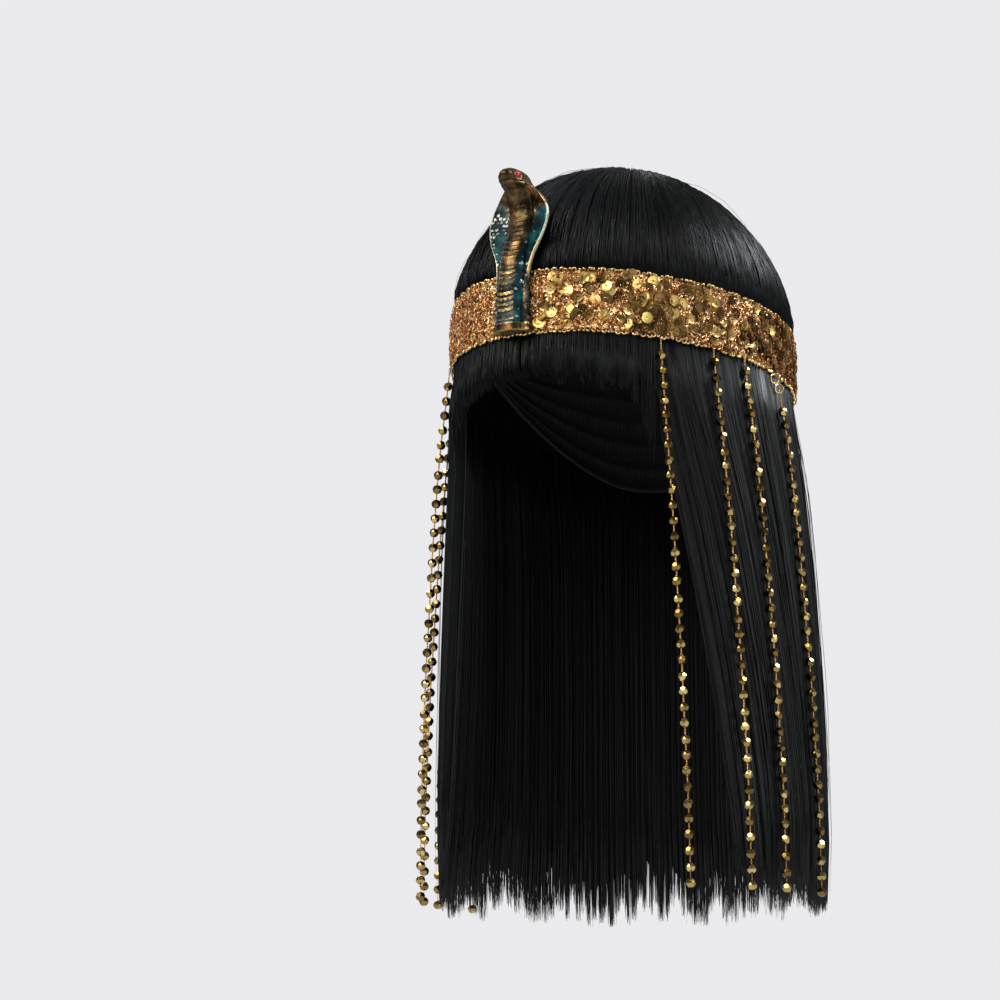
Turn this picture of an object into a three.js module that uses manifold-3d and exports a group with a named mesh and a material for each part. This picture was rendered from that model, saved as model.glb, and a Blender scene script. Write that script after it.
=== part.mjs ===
// An Egyptian queen wig: straight black hair with a cut fringe on a thin cap, a sequinned
// headband with a cobra standing on its front, and eight strings of beads hanging from it.
// Millimetres, +Z up. The front is -Y, and the left side as worn is +X.
// The origin is the highest point of the hollow, inside the top of the cap.
import * as THREE from "three";
import { mergeVertices } from "three/addons/utils/BufferGeometryUtils.js";
import Module from "manifold-3d";

const wasm = await Module();
wasm.setup();

// Driving dimensions

const GAP = 0.3; // clearance between pieces that lie on each other

const HEAD = { halfWidth: 74, halfLength: 96, crownRise: 82 };
const WIDEST_Z = -HEAD.crownRise; // height of the head's widest girth

// The cap's edge slopes from the brow to the nape between two angles from the front.
const CAP = { wall: 1.5, frontEdge: -84, napeEdge: -142, slopeFrom: 60, slopeTo: 150, napeNarrowing: 0.1 };

const HAIR = {
  underBand: 6.5, // thickness where the headband presses the hair
  loft: 3.2, // how far the free hair swells beyond the pressed hair
  loftRise: 8, // height above the band over which it swells
  crown: 13, // thickness on top of the head
  crownLocks: 16,
  crownRelief: 0.8,
};

// The band's heights are those at the ears. It sits higher at the brow and lower at the back.
const BAND = { height: 32, wall: 2.2, middleZ: -85, frontLift: 7, corner: 0.6 };
const BAND_TOP = BAND.middleZ + BAND.height / 2;
const BAND_BOTTOM = BAND.middleZ - BAND.height / 2;

// The cut fringe hangs from under the band to the brow and is a little longer at the temples.
const FRINGE = {
  halfAngle: 43,
  locks: 11,
  samples: 4,
  centreEnd: -114,
  templeDrop: 10,
  tip: 4,
  relief: 0.9,
  wallAtEnd: 4,
};

// The long hair in sections: inner half width and half length of its oval, wall of the hair,
// how far the face opening reaches to each side of the front, in degrees, and how much of the
// band's slope the section shares.
const LONG_HAIR_SECTIONS = [
  { z: BAND.middleZ - GAP, halfWidth: 75.8, halfLength: 97.8, wall: 6.5, opening: 44, slope: 1 },
  { z: BAND_BOTTOM - 2, halfWidth: 75.8, halfLength: 97.8, wall: 6.5, opening: 44.5, slope: 1 },
  { z: -135, halfWidth: 77, halfLength: 97.5, wall: 9.5, opening: 48, slope: 0 },
  { z: -190, halfWidth: 80.5, halfLength: 96.5, wall: 11.5, opening: 55, slope: 0 },
  { z: -260, halfWidth: 86, halfLength: 97, wall: 11.5, opening: 61, slope: 0 },
  { z: -325, halfWidth: 91.5, halfLength: 98.5, wall: 9.5, opening: 65, slope: 0 },
  { z: -372, halfWidth: 95, halfLength: 100, wall: 7, opening: 67, slope: 0 },
];
const LONG_HAIR = {
  end: -366,
  locks: 21,
  widthVariation: 0.6, // of a lock's width
  samples: 5,
  relief: 1.8,
  reliefFrom: -105, // the locks part gradually between these two heights
  reliefFull: -160,
  tip: 14,
  unevenness: 16,
  edgeWall: 0.6, // share of the wall left at the two front edges
};

// The cobra in level sections above its foot: half width, depth front to back at the belly,
// thickness of the hood's rim, how far the rim curls forward, and how far the back of the
// section sits behind the front face of the band.
const COBRA_SECTIONS = [
  { rise: 0, halfWidth: 10.8, depth: 10.4, rim: 6.0, curl: 0.0, setBack: 0.0 },
  { rise: 3.2, halfWidth: 10.8, depth: 10.6, rim: 6.0, curl: 0.0, setBack: 0.0 },
  { rise: 5, halfWidth: 9.9, depth: 10.0, rim: 5.0, curl: 0.0, setBack: 0.0 },
  { rise: 13, halfWidth: 9.4, depth: 10.2, rim: 5.0, curl: 0.0, setBack: 0.0 },
  { rise: 23, halfWidth: 8.7, depth: 10.2, rim: 4.6, curl: 0.2, setBack: 0.2 },
  { rise: 30, halfWidth: 8.9, depth: 9.8, rim: 3.8, curl: 0.5, setBack: 1.2 },
  { rise: 36, halfWidth: 9.8, depth: 9.4, rim: 3.2, curl: 0.9, setBack: 2.2 },
  { rise: 41.5, halfWidth: 11.6, depth: 9.0, rim: 2.7, curl: 1.6, setBack: 3.2 },
  { rise: 47, halfWidth: 14.2, depth: 8.4, rim: 2.2, curl: 2.6, setBack: 4.6 },
  { rise: 52.5, halfWidth: 16.1, depth: 7.9, rim: 2.0, curl: 3.4, setBack: 6.6 },
  { rise: 57.5, halfWidth: 17.0, depth: 7.6, rim: 2.0, curl: 3.8, setBack: 8.4 },
  { rise: 61.5, halfWidth: 17.0, depth: 7.4, rim: 2.0, curl: 3.8, setBack: 9.6 },
  { rise: 65.4, halfWidth: 16.1, depth: 7.6, rim: 2.2, curl: 3.4, setBack: 10.2 },
  { rise: 68.8, halfWidth: 14.5, depth: 8.2, rim: 2.6, curl: 2.8, setBack: 10.2 },
  { rise: 72, halfWidth: 12.3, depth: 9.4, rim: 3.4, curl: 2.0, setBack: 9.8 },
  { rise: 74.4, halfWidth: 10.2, depth: 11.2, rim: 4.4, curl: 1.2, setBack: 9.2 },
  { rise: 76.3, halfWidth: 8.2, depth: 14.0, rim: 5.4, curl: 0.5, setBack: 8.6 },
  { rise: 78, halfWidth: 6.8, depth: 17.6, rim: 6.2, curl: 0.0, setBack: 8.0 },
  { rise: 80, halfWidth: 5.9, depth: 19.4, rim: 6.4, curl: 0.0, setBack: 7.4 },
  { rise: 82, halfWidth: 5.2, depth: 19.0, rim: 6.2, curl: 0.0, setBack: 6.8 },
  { rise: 83.8, halfWidth: 4.2, depth: 16.4, rim: 5.4, curl: 0.0, setBack: 5.6 },
  { rise: 85, halfWidth: 2.6, depth: 10.5, rim: 3.6, curl: 0.0, setBack: 3.6 },
];
const COBRA = {
  footHeight: 3.2,
  bellyHalf: 7.2, // half width of the ribbed belly
  ribHeight: 0.7,
  ribPitch: 4,
  ribsFrom: 5,
  ribsTo: 70,
  eyeRise: 81.2,
  eyeAside: 4.7,
  eyeBehindSnout: 7,
  eyeRadius: 2.3,
};

// Where the strings leave the band, in degrees from the front, on each side.
const STRINGS = {
  angles: [48.5, 66.5, 79, 97],
  diameter: 5,
  end: -374,
  offHair: 0.5, // between a string and the fullest part of the locks
  sides: 8,
  steps: 16,
  routePoints: 16,
};

// Shared shapes

const radians = THREE.MathUtils.degToRad;
const lerp = THREE.MathUtils.lerp;
const smoothstep = THREE.MathUtils.smoothstep;

// A point on a level oval, at an angle in degrees from the front towards the left.
function onOval(angle, halfWidth, halfLength, z) {
  const a = radians(angle);
  return [halfWidth * Math.sin(a), -halfLength * Math.cos(a), z];
}

// How far the sloping band stands above or below its height at the ears.
const bandLift = (angle) => BAND.frontLift * Math.cos(radians(angle));

// Values of a table's row at a place between its rows, for any column.
function between(rows, key, at) {
  const ascending = rows[1][key] > rows[0][key];
  const last = rows.length - 1;
  let i = 0;
  while (i < last - 1 && (ascending ? at > rows[i + 1][key] : at < rows[i + 1][key])) i += 1;
  const share = THREE.MathUtils.clamp((at - rows[i][key]) / (rows[i + 1][key] - rows[i][key]), 0, 1);
  const made = {};
  for (const name of Object.keys(rows[i])) made[name] = lerp(rows[i][name], rows[i + 1][name], share);
  return made;
}

// Swell across one lock of hair, from 0 at its edges to 1 in its middle.
const lockSwell = (share) => 4 * share * (1 - share);

// A repeatable value from 0 to 1 that differs from one lock to the next.
const unevenly = (index) => (index * 0.618034 + 0.37) % 1;

// A closed skin through loops of points. A closed run joins the last loop to the first.
// An open run is capped by joining each end loop's points across it in pairs.
function loft(loops, closedRun = false) {
  const n = loops[0].length;
  const triangles = [];
  const add = (a, b, c) => {
    const same = (p, q) => Math.hypot(p[0] - q[0], p[1] - q[1], p[2] - q[2]) < 1e-6;
    if (!same(a, b) && !same(b, c) && !same(c, a)) triangles.push(a, b, c);
  };
  const runs = closedRun ? loops.length : loops.length - 1;
  for (let i = 0; i < runs; i += 1) {
    const from = loops[i];
    const to = loops[(i + 1) % loops.length];
    for (let k = 0; k < n; k += 1) {
      const next = (k + 1) % n;
      add(from[k], from[next], to[next]);
      add(from[k], to[next], to[k]);
    }
  }
  if (!closedRun) {
    const first = loops[0];
    const last = loops[loops.length - 1];
    for (let k = 0; k < n / 2 - 1; k += 1) {
      add(first[k], first[n - 1 - k], first[n - 2 - k]);
      add(first[k], first[n - 2 - k], first[k + 1]);
      add(last[k], last[n - 2 - k], last[n - 1 - k]);
      add(last[k], last[k + 1], last[n - 2 - k]);
    }
  }
  let volume = 0;
  for (let i = 0; i < triangles.length; i += 3) {
    const [p, q, r] = [0, 1, 2].map((j) => new THREE.Vector3(...triangles[i + j]));
    volume += p.dot(q.cross(r));
  }
  if (volume < 0) triangles.reverse();
  const geometry = new THREE.BufferGeometry();
  geometry.setAttribute("position", new THREE.Float32BufferAttribute(triangles.flat(), 3));
  return geometry;
}

// A geometry as a solid for cutting, and a solid as a geometry.
function toSolid(geometry) {
  const bare = new THREE.BufferGeometry();
  bare.setAttribute("position", geometry.getAttribute("position"));
  if (geometry.index) bare.setIndex(geometry.index);
  const merged = mergeVertices(bare, 1e-4);
  const vertProperties = merged.attributes.position.array;
  const triVerts = new Uint32Array(merged.index.array);
  return new wasm.Manifold(new wasm.Mesh({ numProp: 3, vertProperties, triVerts }));
}

function toGeometry(solid) {
  const mesh = solid.getMesh();
  const geometry = new THREE.BufferGeometry();
  geometry.setAttribute("position", new THREE.BufferAttribute(mesh.vertProperties, 3));
  geometry.setIndex(new THREE.BufferAttribute(mesh.triVerts, 1));
  return geometry;
}

const wig = new THREE.Group();

function addPiece(name, geometry, material) {
  const piece = new THREE.Mesh(geometry, material);
  piece.name = name;
  wig.add(piece);
  return piece;
}

function finish(color, roughness, metalness) {
  return new THREE.MeshStandardMaterial({ color, roughness, metalness });
}

const netBlack = finish(0x17171a, 0.9, 0);
const hairBlack = finish(0x131517, 0.4, 0);
const sequinGold = finish(0xb07f32, 0.35, 0.8);
const patinaTeal = finish(0x1f4447, 0.4, 0.3);
const eyeRed = finish(0xa01f1a, 0.25, 0);
const beadGold = finish(0xb39546, 0.25, 0.9);

// Cap: a thin dome over the head, open below, longer at the nape than at the brow

const CAP_AROUND = 32;
const CAP_DOME_RINGS = 5;
const CAP_SKIRT_RINGS = 2;

function capEdge(angle) {
  const fromFront = Math.abs(((angle + 180) % 360) - 180);
  return lerp(CAP.frontEdge, CAP.napeEdge, smoothstep(fromFront, CAP.slopeFrom, CAP.slopeTo));
}

function capRing(outset, share) {
  const points = [];
  for (let k = 0; k < CAP_AROUND; k += 1) {
    const angle = (360 * k) / CAP_AROUND;
    const halfWidth = HEAD.halfWidth + outset;
    const halfLength = HEAD.halfLength + outset;
    if (share <= 1) {
      const polar = radians(90 * share);
      const z = WIDEST_Z + (HEAD.crownRise + outset) * Math.cos(polar);
      points.push(onOval(angle, halfWidth * Math.sin(polar), halfLength * Math.sin(polar), z));
    } else {
      const z = lerp(WIDEST_Z, capEdge(angle), share - 1);
      const below = (WIDEST_Z - z) / (WIDEST_Z - CAP.napeEdge);
      const narrowed = 1 - CAP.napeNarrowing * below * below;
      points.push(onOval(angle, halfWidth * narrowed, halfLength * narrowed, z));
    }
  }
  return points;
}

const capShares = [];
for (let i = 0; i <= CAP_DOME_RINGS; i += 1) capShares.push(i / CAP_DOME_RINGS);
for (let i = 1; i <= CAP_SKIRT_RINGS; i += 1) capShares.push(1 + i / CAP_SKIRT_RINGS);
const capOutside = capShares.map((share) => capRing(CAP.wall, share));
const capInside = capShares.map((share) => capRing(0, share)).reverse();
addPiece("wig_cap", loft([...capOutside, ...capInside]), netBlack);

// Crown hair: the hair that lies over the cap, parted into locks that run down from the crown
// and pressed in where the headband grips it

const CROWN_AROUND = HAIR.crownLocks * 4;
const CROWN_POLAR = [0, 14, 28, 41, 52, 61, 68]; // degrees from the top, down to above the band
const underHair = CAP.wall + GAP; // from the head to the underside of the hair
const crownTop = HEAD.crownRise + underHair + HAIR.crown;
const pressed = {
  halfWidth: HEAD.halfWidth + underHair + HAIR.underBand,
  halfLength: HEAD.halfLength + underHair + HAIR.underBand,
};

// How much the head's oval has drawn in at a height above its widest girth.
const drawnIn = (z, rise) => Math.sqrt(Math.max(0, 1 - (Math.max(0, z - WIDEST_Z) / rise) ** 2));

// Outline of the crown hair at a height, as half width and half length. It depends on how far
// the band's slope lifts the band there.
function crownOutline(z, lift) {
  const free = smoothstep(z - lift, BAND_TOP, BAND_TOP + HAIR.loftRise);
  const round = drawnIn(z, crownTop);
  return {
    halfWidth: (pressed.halfWidth + HAIR.loft * free) * round,
    halfLength: (pressed.halfLength + HAIR.loft * free) * round,
    relief: HAIR.crownRelief * free * round,
  };
}

function crownOuterRing(height, slope) {
  const points = [];
  for (let k = 0; k < CROWN_AROUND; k += 1) {
    const angle = (360 * k) / CROWN_AROUND;
    const z = height + slope * bandLift(angle);
    const outline = crownOutline(z, bandLift(angle));
    const swell = outline.relief * lockSwell((k % 4) / 4);
    points.push(onOval(angle, outline.halfWidth + swell, outline.halfLength + swell, z));
  }
  return points;
}

// The underside follows the cap down to the hair's lower rim, which slopes with the band.
function crownInnerRing(height) {
  const rise = HEAD.crownRise + underHair;
  const points = [];
  for (let k = 0; k < CROWN_AROUND; k += 1) {
    const angle = (360 * k) / CROWN_AROUND;
    const z = Math.max(height, BAND.middleZ + bandLift(angle));
    const round = drawnIn(z, rise);
    const halfWidth = (HEAD.halfWidth + underHair) * round;
    points.push(onOval(angle, halfWidth, (HEAD.halfLength + underHair) * round, z));
  }
  return points;
}

const domeHeights = CROWN_POLAR.map((polar) => WIDEST_Z + crownTop * Math.cos(radians(polar)));
const crownOutside = domeHeights.map((height) => crownOuterRing(height, 0));
const bandHeights = [BAND_TOP + HAIR.loftRise, BAND_TOP, BAND.middleZ];
for (const height of bandHeights) crownOutside.push(crownOuterRing(height, 1));
const domeShares = capShares.filter((share) => share <= 1);
const crownInside = domeShares.map((share) =>
  crownInnerRing(WIDEST_Z + (HEAD.crownRise + underHair) * Math.cos(radians(90 * share))),
);
crownInside.push(crownInnerRing(BAND.middleZ - BAND.frontLift));
addPiece("crown_hair", loft([...crownOutside, ...crownInside.reverse()]), hairBlack);

// Fringe: short locks cut across the brow, hanging from under the front of the band

function fringeSection(lock, share) {
  const angle = FRINGE.halfAngle * ((2 * (lock + share)) / FRINGE.locks - 1);
  const swell = lockSwell(share);
  const toTemple = (angle / FRINGE.halfAngle) ** 2;
  const tip = FRINGE.tip * (0.4 + 0.6 * unevenly(lock)) * swell;
  const end = FRINGE.centreEnd - FRINGE.templeDrop * toTemple - tip;
  const underBand = BAND_BOTTOM - 2 + bandLift(angle);
  const inside = { halfWidth: HEAD.halfWidth + underHair, halfLength: HEAD.halfLength + underHair };
  const rows = [
    { z: BAND.middleZ - GAP + bandLift(angle), out: HAIR.underBand, in: 0 },
    { z: underBand, out: HAIR.underBand, in: 0 },
    { z: lerp(underBand, end, 0.5), out: HAIR.underBand + 0.8 + FRINGE.relief * swell, in: 0.4 },
    { z: end, out: FRINGE.wallAtEnd + 1 + FRINGE.relief * swell, in: 1 },
  ];
  const point = ({ z, ...row }, key) => {
    const round = drawnIn(z, crownTop);
    return onOval(angle, (inside.halfWidth + row[key]) * round, (inside.halfLength + row[key]) * round, z);
  };
  const outside = rows.map((row) => point(row, "out"));
  return [...outside, ...rows.map((row) => point(row, "in")).reverse()];
}

const fringeSections = [];
for (let lock = 0; lock < FRINGE.locks; lock += 1) {
  for (let i = 0; i < FRINGE.samples; i += 1) {
    fringeSections.push(fringeSection(lock, i / FRINGE.samples));
  }
}
fringeSections.push(fringeSection(FRINGE.locks - 1, 1));
addPiece("fringe", loft(fringeSections), hairBlack);

// Long hair: a curtain of locks round the sides and back, open at the face

const lastSection = LONG_HAIR_SECTIONS.at(-1);

// Edges between the locks, which are not all of one width.
function lockEdge(index) {
  const betweenLocks = index > 0 && index < LONG_HAIR.locks;
  const shift = betweenLocks ? LONG_HAIR.widthVariation * (unevenly(index) - 0.5) : 0;
  return (index + shift) / LONG_HAIR.locks;
}

function longHairSection(lock, share) {
  const along = lerp(lockEdge(lock), lockEdge(lock + 1), share); // 0 at the left edge, 1 at the right
  const swell = lockSwell(share);
  const uneven = LONG_HAIR.unevenness * (unevenly(lock) - 0.5);
  const tip = LONG_HAIR.tip * (0.5 + unevenly(3 * lock));
  const end = LONG_HAIR.end + uneven + tip * (0.5 - swell);
  const fromEdge = Math.min(along, 1 - along) * LONG_HAIR.locks;
  const wallShare = lerp(LONG_HAIR.edgeWall, 1, smoothstep(fromEdge, 0, 1));
  const outside = [];
  const inside = [];
  for (const row of LONG_HAIR_SECTIONS) {
    const angle = lerp(row.opening, 360 - row.opening, along);
    const z = row === lastSection ? end : row.z + row.slope * bandLift(angle);
    const s = row === lastSection ? between(LONG_HAIR_SECTIONS, "z", end) : row;
    const parted = smoothstep(-z, -LONG_HAIR.reliefFrom, -LONG_HAIR.reliefFull);
    const wall = s.wall * lerp(1, wallShare, parted) + LONG_HAIR.relief * parted * (swell - 0.5);
    const round = drawnIn(z, crownTop);
    outside.push(onOval(angle, (s.halfWidth + wall) * round, (s.halfLength + wall) * round, z));
    inside.push(onOval(angle, s.halfWidth * round, s.halfLength * round, z));
  }
  return [...outside, ...inside.reverse()];
}

const longHairSections = [];
for (let lock = 0; lock < LONG_HAIR.locks; lock += 1) {
  for (let i = 0; i < LONG_HAIR.samples; i += 1) {
    longHairSections.push(longHairSection(lock, i / LONG_HAIR.samples));
  }
}
longHairSections.push(longHairSection(LONG_HAIR.locks - 1, 1));
addPiece("long_hair", loft(longHairSections), hairBlack);

// Headband: a stiff fabric ring that follows the pressed hair

const BAND_AROUND = 56;

function bandSection(angle) {
  const bottom = BAND_BOTTOM + bandLift(angle);
  const top = BAND_TOP + bandLift(angle);
  const middle = BAND.middleZ + bandLift(angle);
  const { corner, wall } = BAND;
  const profile = [
    { out: corner, z: bottom },
    { out: wall - corner, z: bottom },
    { out: wall, z: bottom + corner },
    { out: wall, z: middle },
    { out: wall, z: top - corner },
    { out: wall - corner, z: top },
    { out: corner, z: top },
    { out: 0, z: top - corner },
    { out: 0, z: middle },
    { out: 0, z: bottom + corner },
  ];
  return profile.map(({ out, z }) => {
    const round = drawnIn(z, crownTop);
    const outset = GAP + out;
    return onOval(angle, pressed.halfWidth * round + outset, pressed.halfLength * round + outset, z);
  });
}

const bandSections = [];
for (let k = 0; k < BAND_AROUND; k += 1) bandSections.push(bandSection((360 * k) / BAND_AROUND));
addPiece("headband", loft(bandSections, true), sequinGold);

// Cobra: a moulded figure that stands on the front of the band, with a ribbed belly, a spread
// hood and a head that looks forward

const COBRA_FRONT_POINTS = 14;
const COBRA_BACK_POINTS = 6;
const cobraFoot = BAND_BOTTOM + bandLift(0);
const cobraFace = -(pressed.halfLength + GAP + BAND.wall + GAP); // just clear of the band's front

function cobraSection(rise, onRib) {
  const s = between(COBRA_SECTIONS, "rise", rise);
  const back = cobraFace + s.setBack;
  const z = cobraFoot + rise;
  const points = [];
  for (let i = 0; i < COBRA_FRONT_POINTS; i += 1) {
    const share = -Math.cos((Math.PI * i) / (COBRA_FRONT_POINTS - 1));
    const x = s.halfWidth * share;
    const onBelly = Math.max(0, 1 - (x / Math.min(COBRA.bellyHalf, s.halfWidth)) ** 2);
    const rib = onRib ? COBRA.ribHeight * Math.sqrt(onBelly) : 0;
    const depth = s.rim + (s.depth - s.rim) * Math.sqrt(onBelly) + rib;
    points.push([x, back - depth - s.curl * share * share, z]);
  }
  for (let i = 0; i < COBRA_BACK_POINTS; i += 1) {
    const share = Math.cos((Math.PI * i) / (COBRA_BACK_POINTS - 1));
    const rounding = Math.min(s.rim * 0.35, 1.2) * share * share;
    points.push([s.halfWidth * share, back - s.curl * share * share - rounding, z]);
  }
  return points;
}

const cobraLoops = [cobraSection(0, false), cobraSection(COBRA.footHeight, false)];
for (let rise = COBRA.ribsFrom; rise < COBRA.ribsTo; rise += COBRA.ribPitch) {
  cobraLoops.push(cobraSection(rise, false));
  cobraLoops.push(cobraSection(rise + COBRA.ribPitch / 2, true));
}
for (const { rise } of COBRA_SECTIONS.filter((row) => row.rise > COBRA.ribsTo + COBRA.ribPitch / 2))
  cobraLoops.push(cobraSection(rise, false));

// Each eye is a round red bead in a socket in the side of the head.
const headRow = between(COBRA_SECTIONS, "rise", COBRA.eyeRise);
const eyeY = cobraFace + headRow.setBack - headRow.depth + COBRA.eyeBehindSnout;
const eyePlaces = { left: COBRA.eyeAside, right: -COBRA.eyeAside };

function eyeBall(radius, x) {
  return new THREE.SphereGeometry(radius, 10, 6).translate(x, eyeY, cobraFoot + COBRA.eyeRise);
}

let cobraSolid = toSolid(loft(cobraLoops));
for (const x of Object.values(eyePlaces))
  cobraSolid = cobraSolid.subtract(toSolid(eyeBall(COBRA.eyeRadius + GAP, x)));
addPiece("cobra", toGeometry(cobraSolid), patinaTeal);
for (const [side, x] of Object.entries(eyePlaces))
  addPiece(`cobra_eye_${side}`, eyeBall(COBRA.eyeRadius, x), eyeRed);

// Strings of beads: each hangs from the lower edge of the band and lies over the long hair,
// as a plain round length of the beads' diameter

function stringRoute(angle) {
  const top = BAND_BOTTOM - GAP + bandLift(angle);
  const rows = LONG_HAIR_SECTIONS.map((row) => ({ ...row, z: row.z + row.slope * bandLift(angle) }));
  const points = [];
  for (let i = 0; i <= STRINGS.routePoints; i += 1) {
    const z = lerp(top, STRINGS.end, i / STRINGS.routePoints);
    const s = between(rows, "z", z);
    const parted = smoothstep(-z, -LONG_HAIR.reliefFrom, -LONG_HAIR.reliefFull);
    const out = s.wall + (LONG_HAIR.relief / 2) * parted + STRINGS.offHair + STRINGS.diameter / 2;
    points.push(new THREE.Vector3(...onOval(angle, s.halfWidth + out, s.halfLength + out, z)));
  }
  return new THREE.CatmullRomCurve3(points);
}

function stringGeometry(angle) {
  const section = new THREE.Shape();
  section.absarc(0, 0, STRINGS.diameter / 2, 0, 2 * Math.PI);
  return new THREE.ExtrudeGeometry(section, {
    extrudePath: stringRoute(angle),
    steps: STRINGS.steps,
    curveSegments: STRINGS.sides / 2,
    bevelEnabled: false,
  });
}

STRINGS.angles.forEach((angle, i) => {
  addPiece(`bead_string_left_${i + 1}`, stringGeometry(angle), beadGold);
  addPiece(`bead_string_right_${i + 1}`, stringGeometry(-angle), beadGold);
});

export default wig;
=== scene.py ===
import bpy
import numpy as np
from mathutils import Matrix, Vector


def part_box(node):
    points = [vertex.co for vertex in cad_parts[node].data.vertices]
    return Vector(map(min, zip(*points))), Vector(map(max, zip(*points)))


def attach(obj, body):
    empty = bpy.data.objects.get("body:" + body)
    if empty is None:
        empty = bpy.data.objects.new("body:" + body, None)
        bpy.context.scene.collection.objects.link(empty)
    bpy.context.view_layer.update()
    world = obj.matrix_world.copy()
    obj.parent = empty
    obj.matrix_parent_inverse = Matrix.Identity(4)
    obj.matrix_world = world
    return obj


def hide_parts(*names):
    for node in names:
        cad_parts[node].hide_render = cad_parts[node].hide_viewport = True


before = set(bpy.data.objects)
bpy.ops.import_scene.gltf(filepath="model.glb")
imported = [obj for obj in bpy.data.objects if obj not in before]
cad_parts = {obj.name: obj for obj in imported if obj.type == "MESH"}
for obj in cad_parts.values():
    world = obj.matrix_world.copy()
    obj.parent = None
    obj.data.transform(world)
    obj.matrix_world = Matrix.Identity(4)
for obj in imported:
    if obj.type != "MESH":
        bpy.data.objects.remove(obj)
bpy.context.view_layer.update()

# Cap: a thin dome of black elastic net that carries the hair. Rows of stitched tape run round
# it inside, and a soft binding closes its edge, which slopes down from the front to the back.
HEAD_WIDTH, HEAD_LENGTH, HEAD_RISE = 0.074, 0.096, 0.082  # half width, half length and rise
WIDEST_Z = -HEAD_RISE
CAP_WALL = 0.0015
CAP_FRONT_EDGE, CAP_NAPE_EDGE, CAP_NARROWING = -0.084, -0.142, 0.1
CAP_SLOPE_FROM, CAP_SLOPE_TO = 60, 150  # degrees from the front
TAPE_ROWS, TAPE_RELIEF, BINDING_RELIEF = 9, 0.0007, 0.0006


def smoothstep(value, low, high):
    share = np.clip((value - low) / (high - low), 0, 1)
    return share * share * (3 - 2 * share)


def lerp(start, end, share):
    return start + (end - start) * share


def oval(angle, half_width, half_length, z):
    """Points on level ovals, at angles in radians from the front towards the left side."""
    parts = np.broadcast_arrays(half_width * np.sin(angle), -half_length * np.cos(angle), z)
    return np.stack(parts, axis=-1)


def shaped_grid(name, points, layers=None):
    """A grid primitive moved to rows of points, with values on its points, seams and poles merged."""
    rows, columns = points.shape[:2]
    bpy.ops.object.select_all(action="DESELECT")
    bpy.ops.mesh.primitive_grid_add(x_subdivisions=columns - 1, y_subdivisions=rows - 1, size=2)
    piece = bpy.context.object
    piece.name = piece.data.name = name
    flat = np.empty(len(piece.data.vertices) * 3)
    piece.data.vertices.foreach_get("co", flat)
    flat = flat.reshape(-1, 3)
    column = np.rint((flat[:, 0] + 1) / 2 * (columns - 1)).astype(int)
    row = np.rint((flat[:, 1] + 1) / 2 * (rows - 1)).astype(int)
    piece.data.vertices.foreach_set("co", points[row, column].ravel())
    for layer_name, values in (layers or {}).items():
        layer = piece.data.attributes.new(layer_name, "FLOAT", "POINT")
        layer.data.foreach_set("value", values[row, column].astype(np.float32))
    piece.data.update()
    bpy.ops.object.mode_set(mode="EDIT")
    bpy.ops.mesh.select_all(action="SELECT")
    bpy.ops.mesh.remove_doubles(threshold=1e-6)
    bpy.ops.mesh.normals_make_consistent(inside=False)
    bpy.ops.object.mode_set(mode="OBJECT")
    bpy.ops.object.shade_smooth()
    return piece


def set_inputs(node, values):
    for name, value in values.items():
        node.inputs[name].default_value = value


def new_material(name, finish):
    """A material, its nodes and links, and its surface with some inputs set."""
    material = bpy.data.materials.new(name)
    material.use_nodes = True
    nodes, links = material.node_tree.nodes, material.node_tree.links
    surface = nodes["Principled BSDF"]
    set_inputs(surface, finish)
    return material, nodes, links, surface


def add_node(nodes, kind, values):
    node = nodes.new(kind)
    set_inputs(node, values)
    return node


def connect(links, routes):
    """Links from a node's output to a node's input, each given as those four."""
    for start, output, end, entry in routes:
        links.new(start.outputs[output], end.inputs[entry])


def colour_ramp(nodes, stops):
    ramp = nodes.new("ShaderNodeValToRGB")
    elements = ramp.color_ramp.elements
    while len(elements) < len(stops):
        elements.new(0.5)
    for element, (place, colour) in zip(elements, stops):
        element.position = place
        element.color = (*colour, 1)
    return ramp


def on_object(nodes, links, texture, values):
    """A texture node laid on the piece's own Object coordinates."""
    node = add_node(nodes, texture, values)
    connect(links, [(nodes.new("ShaderNodeTexCoord"), "Object", node, "Vector")])
    return node


def place_piece(piece, material, slot, *nodes_replaced):
    piece.data.materials.clear()
    piece.data.materials.append(material)
    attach(piece, "root")
    if nodes_replaced:
        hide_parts(*nodes_replaced)


def from_front(angle):
    """Degrees from the front, from -180 to 180, with the left side positive."""
    return np.degrees((angle + np.pi) % (2 * np.pi) - np.pi)


def cap_edge(angle):
    to_nape = smoothstep(np.abs(from_front(angle)), CAP_SLOPE_FROM, CAP_SLOPE_TO)
    return lerp(CAP_FRONT_EDGE, CAP_NAPE_EDGE, to_nape)


def cap_ring(outset, share, angle):
    half_width, half_length = HEAD_WIDTH + outset, HEAD_LENGTH + outset
    if share <= 1:
        polar = np.pi / 2 * share
        z = WIDEST_Z + (HEAD_RISE + outset) * np.cos(polar)
        return oval(angle, half_width * np.sin(polar), half_length * np.sin(polar), z)
    z = lerp(WIDEST_Z, cap_edge(angle), share - 1)
    below = (WIDEST_Z - z) / (WIDEST_Z - CAP_NAPE_EDGE)
    narrowed = 1 - CAP_NARROWING * below * below
    return oval(angle, half_width * narrowed, half_length * narrowed, z)


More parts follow.
